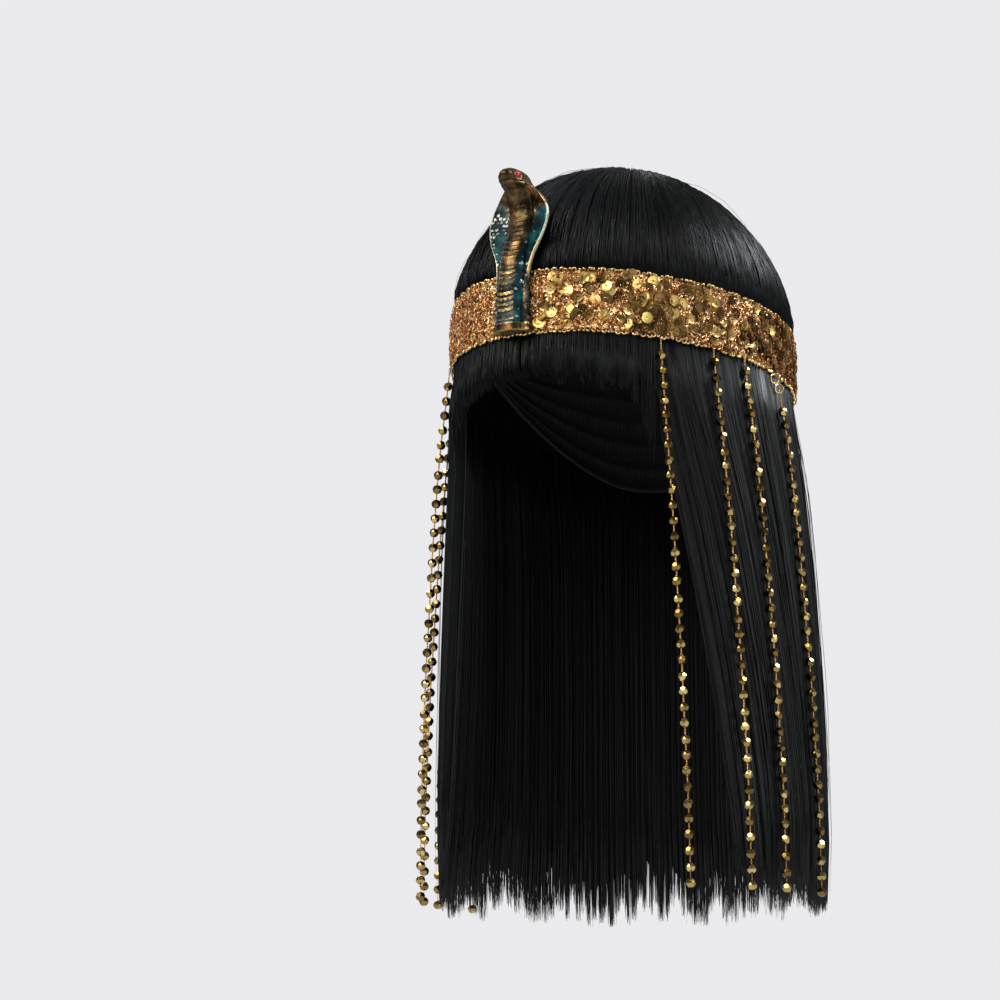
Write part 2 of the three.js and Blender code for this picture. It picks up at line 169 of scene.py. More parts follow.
cap_angle = np.linspace(0, 2 * np.pi, 97)
cap_shares = np.linspace(0, 2, 61)
cap_rows = [cap_ring(CAP_WALL, share, cap_angle) for share in cap_shares[::3]]
for share in cap_shares[::-1]:
    tape = np.clip(np.cos(2 * np.pi * TAPE_ROWS * share / 2) * 2 - 0.6, 0, 1) * (share > 0.15)
    binding = smoothstep(share, 1.9, 1.95)
    cap_rows.append(cap_ring(-TAPE_RELIEF * tape - BINDING_RELIEF * binding, share, cap_angle))
cap = shaped_grid("net_cap", np.array(cap_rows))

net_finish = {"Roughness": 0.85, "Specular IOR Level": 0.25}
cap_net, nodes, links, surface = new_material("black elastic net", net_finish)
mesh_net = on_object(nodes, links, "ShaderNodeTexVoronoi", {"Scale": 620, "Randomness": 0.35})
mesh_net.feature = "DISTANCE_TO_EDGE"
net_tone = colour_ramp(nodes, [(0.0, (0.016, 0.016, 0.018)), (0.22, (0.003, 0.003, 0.004))])
net_bump = add_node(nodes, "ShaderNodeBump", {"Distance": 0.0004})
net_bump.invert = True
connect(links, [(mesh_net, "Distance", net_tone, "Fac"), (mesh_net, "Distance", net_bump, "Height"),
                (net_tone, "Color", surface, "Base Color"), (net_bump, "Normal", surface, "Normal")])
place_piece(cap, cap_net, "cap_net", "wig_cap")

# Crown hair: straight glossy black fibre sewn in on top, combed down over the cap and held flat by
# the headband. A dense under-layer carries fine strands gathered into thin locks.
UNDER_HAIR = CAP_WALL + 0.0003
HAIR_UNDER_BAND, HAIR_LOFT, HAIR_ON_TOP = 0.0065, 0.0032, 0.013
CROWN_RISE = HEAD_RISE + UNDER_HAIR + HAIR_ON_TOP
PRESSED_WIDTH = HEAD_WIDTH + UNDER_HAIR + HAIR_UNDER_BAND
PRESSED_LENGTH = HEAD_LENGTH + UNDER_HAIR + HAIR_UNDER_BAND
BAND_MIDDLE, BAND_HEIGHT, BAND_LIFT = -0.085, 0.032, 0.007
BAND_TOP, BAND_BOTTOM = BAND_MIDDLE + BAND_HEIGHT / 2, BAND_MIDDLE - BAND_HEIGHT / 2
STRAND_RADIUS = 0.00023
TUCK = 0.005  # how far the ends of the strands reach under the band


def band_lift(angle):
    return BAND_LIFT * np.cos(angle)


def drawn_in(z, rise):
    return np.sqrt(np.maximum(0, 1 - (np.maximum(0, z - WIDEST_Z) / rise) ** 2))


def unit(vectors):
    return vectors / np.linalg.norm(vectors, axis=-1, keepdims=True)


def crown_surface(angle, z, outset):
    """Points of the crown hair's outside at angles and heights, set out along the dome's normal."""
    free = smoothstep(z - band_lift(angle), BAND_TOP, BAND_TOP + 0.008)
    width, length = PRESSED_WIDTH + HAIR_LOFT * free, PRESSED_LENGTH + HAIR_LOFT * free
    round_in = drawn_in(z, CROWN_RISE)
    points = oval(angle, width * round_in, length * round_in, z)
    rise = np.maximum(0, z - WIDEST_Z) / CROWN_RISE**2
    normal = np.stack([points[..., 0] / width**2, points[..., 1] / length**2, rise], axis=-1)
    return points + unit(normal) * np.expand_dims(outset, -1)


def lock_wave(angle, seed, count):
    """Smooth uneven swelling round the wig, about -1 to 1, for locks of differing width."""
    random = np.random.default_rng(seed)
    wave = np.zeros_like(angle)
    for turns in random.integers(count // 2, count * 2, 7):
        wave = wave + np.sin(turns * angle + random.uniform(0, 6.28))
    return wave / 3.5


def toned_piece(name, vertices, faces, tone):
    """An object with a mesh of its own that holds a tone on each point."""
    mesh = bpy.data.meshes.new(name)
    mesh.from_pydata(vertices.reshape(-1, 3).tolist(), [], faces)
    shade = mesh.attributes.new("tone", "FLOAT", "POINT")
    shade.data.foreach_set("value", tone.astype(np.float32))
    mesh.update()
    piece = bpy.data.objects.new(name, mesh)
    bpy.context.collection.objects.link(piece)
    return piece


def strand_mesh(name, paths, radius, outward, tone):
    """Fine tapered three-sided strands along paths (strand, step, xyz), in one closed mesh."""
    count, steps = paths.shape[:2]
    along = unit(np.gradient(paths, axis=1))
    side = unit(np.cross(along, outward))
    up = np.cross(side, along)
    taper = np.interp(np.linspace(0, 1, steps), [0, 0.12, 0.75, 1], [0.7, 1, 1, 0.25])
    size = radius[:, None, None] * taper[None, :, None]
    corners = [paths + size * (np.cos(a) * side + np.sin(a) * up) for a in np.radians([90, 210, 330])]
    ring = np.arange(count * steps).reshape(count, steps) * 3
    here, there = ring[:, :-1].ravel(), ring[:, 1:].ravel()
    faces = []
    for k, nxt in ((0, 1), (1, 2), (2, 0)):
        faces += np.stack([here + k, there + k, there + nxt, here + nxt], axis=1).tolist()
    first, last = ring[:, 0], ring[:, -1]
    faces += np.stack([first, first + 1, first + 2], axis=1).tolist()
    faces += np.stack([last + 2, last + 1, last], axis=1).tolist()
    piece = toned_piece(name, np.stack(corners, axis=2), faces, np.repeat(tone, steps * 3))
    piece.data.polygons.foreach_set("use_smooth", np.ones(len(faces), dtype=bool))
    piece.data.update()
    return piece


# Under-layer, with streaks that run along the hair.
CROWN_WAVE, WAVE_SEED, WAVE_COUNT = 0.00035, 3, 26
UNDER_LAYER_SUNK = 0.0008  # below the strands that lie on it
around = np.linspace(0, 2 * np.pi, 193)
crown_rim = BAND_MIDDLE + band_lift(around)
sunk_wave = CROWN_WAVE * lock_wave(around, WAVE_SEED, WAVE_COUNT) - UNDER_LAYER_SUNK
polar_end = np.radians(64)
crown_rows = []
for polar in np.linspace(0, polar_end, 27):
    z = np.full_like(around, WIDEST_Z + CROWN_RISE * np.cos(polar))
    crown_rows.append(crown_surface(around, z, sunk_wave * smoothstep(polar, 0.02, 0.25)))
for share in np.linspace(0, 1, 18)[1:]:
    z = lerp(WIDEST_Z + CROWN_RISE * np.cos(polar_end), crown_rim, share)
    crown_rows.append(crown_surface(around, z, sunk_wave * (1 - smoothstep(share, 0.3, 0.7))))
inner_rise = HEAD_RISE + UNDER_HAIR
for share in np.linspace(1, 0, 14):
    z = lerp(inner_rise + WIDEST_Z, crown_rim, np.sin(share * np.pi / 2) ** 2)
    round_in = drawn_in(z, inner_rise)
    width, length = (HEAD_WIDTH + UNDER_HAIR) * round_in, (HEAD_LENGTH + UNDER_HAIR) * round_in
    crown_rows.append(oval(around, width, length, z))
crown_under = shaped_grid("crown_under_hair", np.array(crown_rows))

streaks = bpy.data.node_groups.new("strand streaks", "ShaderNodeTree")
for socket, way in (("Across", "INPUT"), ("Along", "INPUT"), ("Tone", "OUTPUT"), ("Height", "OUTPUT")):
    streaks.interface.new_socket(socket, in_out=way, socket_type="NodeSocketFloat")
group_in, group_out = streaks.nodes.new("NodeGroupInput"), streaks.nodes.new("NodeGroupOutput")
streak_uv = streaks.nodes.new("ShaderNodeUVMap")
streak_uv.uv_map = "UVMap"
stretch_by = streaks.nodes.new("ShaderNodeCombineXYZ")
stretch = streaks.nodes.new("ShaderNodeVectorMath")
stretch.operation = "MULTIPLY"
broad = add_node(streaks.nodes, "ShaderNodeTexNoise", {"Scale": 0.35})
fine = add_node(streaks.nodes, "ShaderNodeTexNoise", {"Scale": 1.6, "Detail": 4})
connect(streaks.links, [(group_in, "Across", stretch_by, "X"), (group_in, "Along", stretch_by, "Y"),
                        (streak_uv, "UV", stretch, 0), (stretch_by, "Vector", stretch, 1),
                        (stretch, "Vector", broad, "Vector"), (stretch, "Vector", fine, "Vector"),
                        (broad, "Fac", group_out, "Tone"), (fine, "Fac", group_out, "Height")])


def under_hair_material(name, across, along):
    """Black under-layer whose tone and bump streak along the piece's UV map."""
    finish = {"Roughness": 0.5, "Specular IOR Level": 0.06}
    material, nodes, links, surface = new_material(name, finish)
    group = nodes.new("ShaderNodeGroup")
    group.node_tree = streaks
    set_inputs(group, {"Across": across, "Along": along})
    tone = colour_ramp(nodes, [(0.3, (0.0013, 0.0016, 0.0017)), (0.75, (0.0036, 0.0042, 0.0045))])
    bump = add_node(nodes, "ShaderNodeBump", {"Distance": 0.0009})
    connect(links, [(group, "Tone", tone, "Fac"), (group, "Height", bump, "Height"),
                    (tone, "Color", surface, "Base Color"), (bump, "Normal", surface, "Normal")])
    return material


place_piece(crown_under, under_hair_material("black crown fibre", 420, 3), "hair", "crown_hair")


def layer_value(nodes, layer):
    node = nodes.new("ShaderNodeAttribute")
    node.attribute_name = layer
    return node


def math_node(nodes, operation):
    node = nodes.new("ShaderNodeMath")
    node.operation = operation
    return node


def strand_material(name, specular, dullest=0.42):
    """Glossy black fibre, with each strand's own tone and gloss, dull where it is sewn in on top."""
    material, nodes, links, surface = new_material(name, {"Specular IOR Level": specular})
    tone, rough = layer_value(nodes, "tone"), math_node(nodes, "MAXIMUM")
    ramp = colour_ramp(nodes, [(0.0, (0.0013, 0.0016, 0.0017)), (0.8, (0.0040, 0.0046, 0.0050)),
                               (1.0, (0.0085, 0.0088, 0.0090))])
    gloss = add_node(nodes, "ShaderNodeMapRange", {"To Min": dullest, "To Max": 0.16})
    dull = add_node(nodes, "ShaderNodeMapRange", {"From Max": 0.010, "To Max": 0.65})
    place, height = nodes.new("ShaderNodeTexCoord"), nodes.new("ShaderNodeSeparateXYZ")
    connect(links, [(tone, "Fac", ramp, "Fac"), (tone, "Fac", gloss, "Value"),
                    (place, "Object", height, "Vector"), (height, "Z", dull, "Value"),
                    (gloss, "Result", rough, 0), (dull, "Result", rough, 1),
                    (ramp, "Color", surface, "Base Color"), (rough, "Value", surface, "Roughness")])
    return material


CROWN_LOCKS = 130
strand_fibre = strand_material("black strand fibre", 0.14)
stray_fibre = strand_material("dull stray fibre", 0.02)


def crown_strands(name, count, seed, stray):
    """Strands from near the top down to under the band, drawn into thin locks on the way."""
    random = np.random.default_rng(seed)
    steps = np.linspace(0, 1, 8)[None, :]
    end_angle = random.uniform(0, 2 * np.pi, count)
    locks = np.sort(random.uniform(0, 2 * np.pi, CROWN_LOCKS))
    nearest = locks[np.abs(end_angle[:, None] - locks[None, :]).argmin(axis=1)]
    lock_height = np.interp(nearest, locks, random.normal(0, 0.0002, len(locks)))[:, None]
    start = np.radians(1 + 57 * random.random(count) ** 1.6)[:, None]
    end_z = np.maximum(BAND_TOP + band_lift(end_angle) - TUCK, WIDEST_Z + 0.0005)
    polar = lerp(start, np.arccos((end_z - WIDEST_Z) / CROWN_RISE)[:, None], steps)
    gather = 0.35 * np.sin(np.pi * steps) ** 2 * (1 - stray)
    angle = lerp(end_angle[:, None], nearest[:, None], gather) + 0.5 * np.exp(-polar / np.radians(16))
    angle = angle + random.normal(0, 0.012 + 0.05 * stray, (count, 1)) * np.sin(np.pi * steps)
    z = WIDEST_Z + CROWN_RISE * np.cos(polar)
    lift = stray * random.uniform(0.0005, 0.004, (count, 1)) * np.sin(np.pi * steps) ** 2
    dive = -0.0006 * (1 - smoothstep(steps, 0, 0.15))
    wave = CROWN_WAVE * lock_wave(angle, WAVE_SEED, WAVE_COUNT) * np.sin(polar)
    outset = random.uniform(-0.0007, 0.0004, (count, 1)) + lock_height + lift + dive + wave
    paths = crown_surface(angle, z, outset)
    outward = crown_surface(angle, z, outset + 0.01) - paths
    radius = STRAND_RADIUS * random.uniform(0.7, 1.35, count) * (1 - 0.6 * stray)
    lock_tone = random.random(len(locks)) ** 2
    tone = lerp(lock_tone[np.searchsorted(locks, nearest)], random.random(count) ** 2, 0.35)
    piece = strand_mesh(name, paths, radius, outward, tone)
    place_piece(piece, stray_fibre if stray else strand_fibre, "hair")


crown_strands("crown_strands", 3600, 11, 0)
crown_strands("crown_stray_hairs", 50, 13, 1)

# Fringe: short locks of the same fibre that hang from under the front of the band. They are cut
# straight across in ragged points, longer at both sides, with a thin parting below the cobra.
FRINGE_ANGLE = np.radians(43)
FRINGE_LOCKS, FRINGE_TIP = 11, 0.004
FRINGE_END, TEMPLE_DROP, FRINGE_RELIEF, FRINGE_WALL_AT_END = -0.114, 0.010, 0.0009, 0.004
PARTING_ANGLE, PARTING_HALF = np.radians(1.6), np.radians(0.55)


def lock_swell(share):
    return 4 * share * (1 - share)


def unevenly(index):
    return (index * 0.618034 + 0.37) % 1


def fringe_lock(angle):
    """Index of the fringe's lock at an angle, and the share across it."""
    place = np.clip((angle / FRINGE_ANGLE + 1) / 2 * FRINGE_LOCKS, 0, FRINGE_LOCKS - 1e-6)
    return np.floor(place), place % 1


def fringe_end(angle):
    lock, share = fringe_lock(angle)
    tip = FRINGE_TIP * (0.4 + 0.6 * unevenly(lock)) * lock_swell(share)
    return FRINGE_END - TEMPLE_DROP * (np.clip(np.abs(angle), 0, FRINGE_ANGLE) / FRINGE_ANGLE) ** 2 - tip


def fringe_outset(angle, share):
    """Thickness of the fringe beyond its underside, from the band's middle to its cut end."""
    swell = FRINGE_RELIEF * lock_swell(fringe_lock(angle)[1])
    swollen = smoothstep(share, 0.55, 0.8) * (0.0008 + swell)
    thinned = (HAIR_UNDER_BAND - FRINGE_WALL_AT_END - 0.001) * smoothstep(share, 0.75, 1.05)
    return HAIR_UNDER_BAND + swollen - thinned


def fringe_point(angle, share, outset, end):
    z = lerp(BAND_MIDDLE - 0.0003 + band_lift(angle), end, share)
    inside = 0.001 * smoothstep(share, 0.5, 1)
    round_in = drawn_in(z, CROWN_RISE)
    width = (HEAD_WIDTH + UNDER_HAIR + inside + outset) * round_in
    return oval(angle, width, (HEAD_LENGTH + UNDER_HAIR + inside + outset) * round_in, z)


fringe_angle = np.linspace(-FRINGE_ANGLE, FRINGE_ANGLE, 177)
parted = 1 - smoothstep(np.abs(fringe_angle - PARTING_ANGLE), PARTING_HALF * 0.6, PARTING_HALF * 2)
parted_cut = BAND_BOTTOM + band_lift(fringe_angle) - 0.001
fringe_cut = lerp(fringe_end(fringe_angle) + 0.003, parted_cut, parted)
fringe_rows = []
for share in np.linspace(0, 1, 16):
    outset = fringe_outset(fringe_angle, share) - 0.0006 * smoothstep(share, 0.45, 0.6)
    fringe_rows.append(fringe_point(fringe_angle, share, outset, fringe_cut))
for share in np.linspace(1, 0, 10):
    fringe_rows.append(fringe_point(fringe_angle, share, np.zeros_like(fringe_angle), fringe_cut))
fringe_rows.append(fringe_rows[0])


def closed_sides(loops):
    """Rows of a flat loop with each side closed by drawing it to the loop's own middle line."""
    left, right = ((loops[:, side] + loops[::-1, side]) / 2 for side in (0, -1))
    return np.concatenate([left[:, None], loops, right[:, None]], axis=1)


fringe_under = shaped_grid("fringe_under_hair", closed_sides(np.array(fringe_rows)))
place_piece(fringe_under, under_hair_material("black fringe fibre", 180, 6), "hair", "fringe")

random = np.random.default_rng(21)
FRINGE_STRANDS, FRINGE_POINTS, TEMPLE_ANGLE = 1500, 64, np.radians(48)
steps = np.linspace(0, 1, 6)[None, :]
start_angle = random.uniform(-TEMPLE_ANGLE, TEMPLE_ANGLE, FRINGE_STRANDS)
points_at = np.sort(random.uniform(-TEMPLE_ANGLE, TEMPLE_ANGLE, FRINGE_POINTS))
point_length = random.uniform(-0.0035, 0.0022, FRINGE_POINTS)
nearest = np.abs(start_angle[:, None] - points_at[None, :]).argmin(axis=1)
end_angle = lerp(start_angle, points_at[nearest], 0.65)
end_angle = end_angle + random.normal(0, np.radians(0.25), FRINGE_STRANDS)
off_parting = end_angle - PARTING_ANGLE
parting_side = np.where(off_parting < 0, -1, 1)
end_angle = PARTING_ANGLE + parting_side * np.maximum(np.abs(off_parting), PARTING_HALF * 1.5)
at_temple = smoothstep(np.abs(start_angle), np.radians(39), TEMPLE_ANGLE)
cut = fringe_end(end_angle) + point_length[nearest] + random.exponential(0.0007, FRINGE_STRANDS)
cut = cut - at_temple * random.uniform(0, 0.045, FRINGE_STRANDS)
angle = lerp(start_angle[:, None], end_angle[:, None], steps**1.5)
share = lerp(0.2, 1, steps) + np.zeros_like(angle)
depth = lerp(random.random((FRINGE_STRANDS, 1)) ** 0.5, 1, at_temple[:, None])
outset = fringe_outset(angle, share) * lerp(1, depth, smoothstep(steps, 0.3, 0.9))
outset = outset + random.uniform(-0.0006, 0.0003, (FRINGE_STRANDS, 1))
outset = outset + 0.0026 * at_temple[:, None] * steps
fringe_paths = fringe_point(angle, share, outset, cut[:, None])
fringe_out = fringe_point(angle, share, outset + 0.01, cut[:, None]) - fringe_paths
fringe_radius = STRAND_RADIUS * random.uniform(0.7, 1.3, FRINGE_STRANDS)
fringe_tone = random.random(FRINGE_STRANDS) ** 3
fringe_strands = strand_mesh("fringe_strands", fringe_paths, fringe_radius, fringe_out, fringe_tone)
place_piece(fringe_strands, strand_fibre, "hair")

# Long hair: a curtain of straight locks sewn to the cap under the band, round the sides and the
# back and open at the front. It flares a little towards uneven wispy ends.
# Columns: height, half width, half length, wall, half angle of the opening, share of the band's slope.
LONG_HAIR_SECTIONS = np.array([
    (BAND_MIDDLE - 0.0003, 0.0758, 0.0978, 0.0065, 44, 1),
    (BAND_BOTTOM - 0.002, 0.0758, 0.0978, 0.0065, 44.5, 1),
    (-0.135, 0.0770, 0.0975, 0.0095, 48, 0),
    (-0.190, 0.0805, 0.0965, 0.0115, 55, 0),
    (-0.260, 0.0860, 0.0970, 0.0115, 61, 0),
    (-0.325, 0.0915, 0.0985, 0.0095, 65, 0),
    (-0.372, 0.0950, 0.1000, 0.0070, 67, 0),
])
LONG_END, LONG_LOCKS, LONG_RELIEF, LONG_TIP, LONG_UNEVEN = -0.366, 21, 0.0018, 0.0077, 0.009
EDGE_WALL, LOCK_VARIATION, THIN_LOCKS = 0.6, 0.6, 130
LOWEST_TIP, UNDER_LAYER_SHORT = -0.379, 0.017
edge_shift = LOCK_VARIATION * (unevenly(np.arange(LONG_LOCKS + 1)) - 0.5)
edge_shift[[0, -1]] = 0
LOCK_EDGES = (np.arange(LONG_LOCKS + 1) + edge_shift) / LONG_LOCKS


def long_lock(along):
    """Index of the curtain's lock at a place along it, and the share across that lock."""
    lock = np.clip(np.searchsorted(LOCK_EDGES, along, side="right") - 1, 0, LONG_LOCKS - 1)
    return lock, np.clip((along - LOCK_EDGES[lock]) / (LOCK_EDGES[lock + 1] - LOCK_EDGES[lock]), 0, 1)


def section_at(z, lift):
    """Half width, half length, wall and opening of the long hair at heights, under a lifted band."""
    heights, lifted = LONG_HAIR_SECTIONS[:, 0], LONG_HAIR_SECTIONS[:, 5]
    z, lift = np.broadcast_arrays(z, lift)
    columns = [np.empty(z.shape) for _ in range(4)]
    for i in range(len(heights) - 1):
        high, low = heights[i] + lifted[i] * lift, heights[i + 1] + lifted[i + 1] * lift
        inside = (z <= high) | (i == 0)
        share = np.clip((z - high) / (low - high), 0, 1)
        for column, values in enumerate(columns):
            mixed = lerp(LONG_HAIR_SECTIONS[i, column + 1], LONG_HAIR_SECTIONS[i + 1, column + 1], share)
            values[inside] = mixed[inside]
    return columns


def long_hair_end(along):
    lock, share = long_lock(along)
    tip = LONG_TIP * (0.5 + unevenly(3 * lock))
    return LONG_END + LONG_UNEVEN * (unevenly(lock) - 0.5) + tip * (0.5 - lock_swell(share))


def long_hair_point(along, share, depth, end, outset):
    """A point of the curtain: along from its left edge to its right, share down, depth through."""
    top_angle = np.radians(lerp(44, 316, along))
    z = lerp(BAND_MIDDLE - 0.0003 + band_lift(top_angle), end, share)
    width, length, wall, opening = section_at(z, band_lift(top_angle))
    angle = np.radians(lerp(opening, 360 - opening, along))
    parted = smoothstep(-z, 0.105, 0.160)
    from_edge = np.minimum(along, 1 - along) * LONG_LOCKS
    wall = wall * lerp(1, lerp(EDGE_WALL, 1, smoothstep(from_edge, 0, 1)), parted)
    wall = wall + LONG_RELIEF * parted * (lock_swell(long_lock(along)[1]) - 0.5)
    thickness = wall * depth + outset
    round_in = drawn_in(z, CROWN_RISE)
    return oval(angle, (width + thickness) * round_in, (length + thickness) * round_in, z)


along = np.linspace(0, 1, LONG_LOCKS * 16 + 1)
long_cut = long_hair_end(along) + UNDER_LAYER_SHORT
curtain_rows = []
for share in np.linspace(0, 1, 36):
    depth = 1 - 0.35 * smoothstep(share, 0.88, 1)
    outset = -0.0007 * smoothstep(share, 0.04, 0.12)
    curtain_rows.append(long_hair_point(along, share, depth, long_cut, outset))
for share in np.linspace(1, 0, 22):
    depth = 0.35 * smoothstep(share, 0.88, 1)
    outset = 0.0004 * smoothstep(share, 0.1, 0.2)
    curtain_rows.append(long_hair_point(along, share, depth, long_cut, outset))
curtain_rows.append(curtain_rows[0])
long_under = shaped_grid("long_under_hair", closed_sides(np.array(curtain_rows)))
place_piece(long_under, under_hair_material("black long fibre", 620, 5), "hair", "long_hair")

random = np.random.default_rng(30)
thin_lock_length = random.normal(0, 0.004, THIN_LOCKS)
thin_lock_middle = (np.arange(THIN_LOCKS) + random.uniform(0.25, 0.75, THIN_LOCKS)) / THIN_LOCKS
thin_lock_tone = random.random(THIN_LOCKS) ** 2
long_fibre = strand_material("black long strand fibre", 0.25, 0.65)


def long_strands(name, count, seed, reach, depths, start_share, loose=0.0, gathered=1.0, step_count=10):
    """Strands in a reach along the curtain and between two depths, drawn into thin locks."""
    random = np.random.default_rng(seed)
    steps = np.linspace(0, 1, step_count)[None, :]
    along = random.uniform(*reach, count)
    thin = np.clip((along * THIN_LOCKS).astype(int), 0, THIN_LOCKS - 1)
    down = lerp(start_share, 1, steps)
    gather = 0.35 * smoothstep(down, 0.05, 0.5) + 0.15 * smoothstep(down, 0.6, 1.0)
    gather = gather * gathered * (1 - loose)
    path_along = lerp(along[:, None], thin_lock_middle[thin][:, None], gather)
    wander = random.normal(0, 0.0016 + 0.010 * loose, (count, 1))
    path_along = path_along + wander * np.sin(random.uniform(1.5, 5, (count, 1)) * down) * down
    path_along = np.clip(path_along, 0, 1)
    end = long_hair_end(along) + thin_lock_length[thin] + random.exponential(0.009, count) - 0.005
    end = np.maximum(end, LOWEST_TIP + random.exponential(0.003, count))[:, None]
    share = down + np.zeros_like(path_along)
    depth = lerp(random.uniform(*depths, (count, 1)), 0.5, 0.55 * smoothstep(down, 0.86, 1.0))
    outset = random.uniform(-0.0006, 0.0005 + 0.002 * loose, (count, 1)) * smoothstep(share, 0.1, 0.3)
    paths = long_hair_point(path_along, share, depth, end, outset)
    outward = long_hair_point(path_along, share, depth, end, outset + 0.01) - paths
    radius = STRAND_RADIUS * random.uniform(0.75, 1.45, count) * (1 - 0.45 * loose)
    tone = lerp(thin_lock_tone[thin], random.random(count) ** 2, 0.35)
    piece = strand_mesh(name, paths, radius, outward, tone)
    place_piece(piece, stray_fibre if loose else long_fibre, "hair")


long_strands("long_strands_left", 1550, 31, (0.0, 0.34), (0.94, 1.0), 0.04)
long_strands("long_strands_back", 1500, 32, (0.33, 0.67), (0.94, 1.0), 0.04)
long_strands("long_strands_right", 1550, 33, (0.66, 1.0), (0.94, 1.0), 0.04)
long_strands("long_strands_inside", 1000, 34, (0.0, 1.0), (-0.05, 0.03), 0.12, step_count=8)
long_strands("long_edge_left", 240, 35, (0.0, 0.008), (0.0, 1.0), 0.06)
long_strands("long_edge_right", 240, 36, (0.992, 1.0), (0.0, 1.0), 0.06)
long_strands("long_hair_tips", 2900, 38, (0.0, 1.0), (0.05, 0.95), 0.78, gathered=0.2, step_count=5)
long_strands("long_stray_hairs", 110, 37, (0.0, 1.0), (1.0, 1.1), 0.06, loose=1.0)

# Headband: a ring of stretch fabric knitted with copper-gold glitter thread, pulled on over the hair.
# It is sewn over with gold sequins and edged above and below with small tight loops of thread.
BAND_WALL, BAND_GAP = 0.0022, 0.0003
CLOTH_REACH = 0.985  # share of the band's height that the cloth covers inside the looped edges


def band_point(angle, height, outset):
    """A point of the band: height from -1 at its lower edge to 1 at its upper, outset off the hair."""
    z = BAND_MIDDLE + BAND_HEIGHT / 2 * height + band_lift(angle)
    round_in = drawn_in(z, CROWN_RISE)
    out = BAND_GAP + outset
    return oval(angle, PRESSED_WIDTH * round_in + out, PRESSED_LENGTH * round_in + out, z)


random = np.random.default_rng(41)
band_angle = np.linspace(0, 2 * np.pi, 361)
outer_heights = np.linspace(-1, 1, 21)
pucker = random.normal(0, 0.00022, (len(outer_heights), len(band_angle)))
pucker[:, -1] = pucker[:, 0]
band_rows = []
for i, height in enumerate(outer_heights):
    edge = 1 - smoothstep(abs(height), 0.9, 1.0) * 0.5
    cloth = (BAND_WALL - 0.0006) * edge + pucker[i]
    band_rows.append(band_point(band_angle, height * CLOTH_REACH, cloth))
for height in np.linspace(1, -1, 5):
    band_rows.append(band_point(band_angle, height * CLOTH_REACH, np.full_like(band_angle, 0.0001)))
band_rows.append(band_rows[0])
band_cloth = shaped_grid("band_cloth", np.array(band_rows))

glitter_knit, nodes, links, surface = new_material("copper glitter knit", {"Roughness": 0.24})
flecks = on_object(nodes, links, "ShaderNodeTexVoronoi", {"Scale": 1050})
shadow = on_object(nodes, links, "ShaderNodeTexNoise", {"Scale": 380})
fleck_value = nodes.new("ShaderNodeSeparateColor")
fleck_colour = colour_ramp(nodes, [(0.0, (0.040, 0.017, 0.006)), (0.4, (0.17, 0.068, 0.022)),
                                   (0.75, (0.50, 0.24, 0.075)), (1.0, (0.95, 0.68, 0.36))])
fleck_metal = colour_ramp(nodes, [(0.35, (0.2, 0.2, 0.2)), (0.55, (1, 1, 1))])
fleck_bump = add_node(nodes, "ShaderNodeBump", {"Distance": 0.0005})
connect(links, [(flecks, "Color", fleck_value, "Color"), (fleck_value, "Red", fleck_colour, "Fac"),
                (fleck_colour, "Color", surface, "Base Color"), (shadow, "Fac", fleck_metal, "Fac"),
                (fleck_metal, "Color", surface, "Metallic"), (flecks, "Distance", fleck_bump, "Height"),
                (fleck_bump, "Normal", surface, "Normal")])
place_piece(band_cloth, glitter_knit, "sequin_band", "headband")


def tone_material(name, stops, roughness, metallic, uneven=0.25):
    """A bright finish whose colour follows each small piece's own tone, with a fine uneven skin."""
    finish = {"Metallic": metallic, "Roughness": roughness}
    material, nodes, links, surface = new_material(name, finish)
    tone, ramp = layer_value(nodes, "tone"), colour_ramp(nodes, stops)
    skin = on_object(nodes, links, "ShaderNodeTexNoise", {"Scale": 900})
    bump = add_node(nodes, "ShaderNodeBump", {"Strength": uneven, "Distance": 0.0002})
    connect(links, [(tone, "Fac", ramp, "Fac"), (ramp, "Color", surface, "Base Color"),
                    (skin, "Fac", bump, "Height"), (bump, "Normal", surface, "Normal")])
    return material


def take_pattern(piece):
    """Points and faces of a shape modelled once, which is then put away."""
    points = np.array([vertex.co[:] for vertex in piece.data.vertices])
    faces = [tuple(polygon.vertices) for polygon in piece.data.polygons]
    bpy.data.objects.remove(piece)
    return points, faces


def small_pieces(name, pattern, places, axes, tone):
    """Copies of one small closed shape, each at a place with its own axes, in one mesh."""
    points, faces = pattern
    vertices = places[:, None, :] + np.einsum("pk,nkc->npc", points, axes)
    offsets = np.arange(len(places)) * len(points)
    all_faces = []
    for face in faces:
        all_faces += (offsets[:, None] + np.array(face)[None, :]).tolist()
    return toned_piece(name, vertices, all_faces, np.repeat(tone, len(points)))


def surface_axes(out, up):
    """Axes (across, up, out) for small pieces that face out of a surface."""
    out = unit(out)
    across = unit(np.cross(up, out))
    return np.stack([across, np.cross(out, across), out], axis=-2)


def band_frame(angle, height, outset):
    """Places on the band and the directions out of it and up it."""
    at = band_point(angle, height, outset)
    out = unit(band_point(angle, height, outset + 0.01) - at)
    return at, out, band_point(angle, height + 0.1, outset) - at


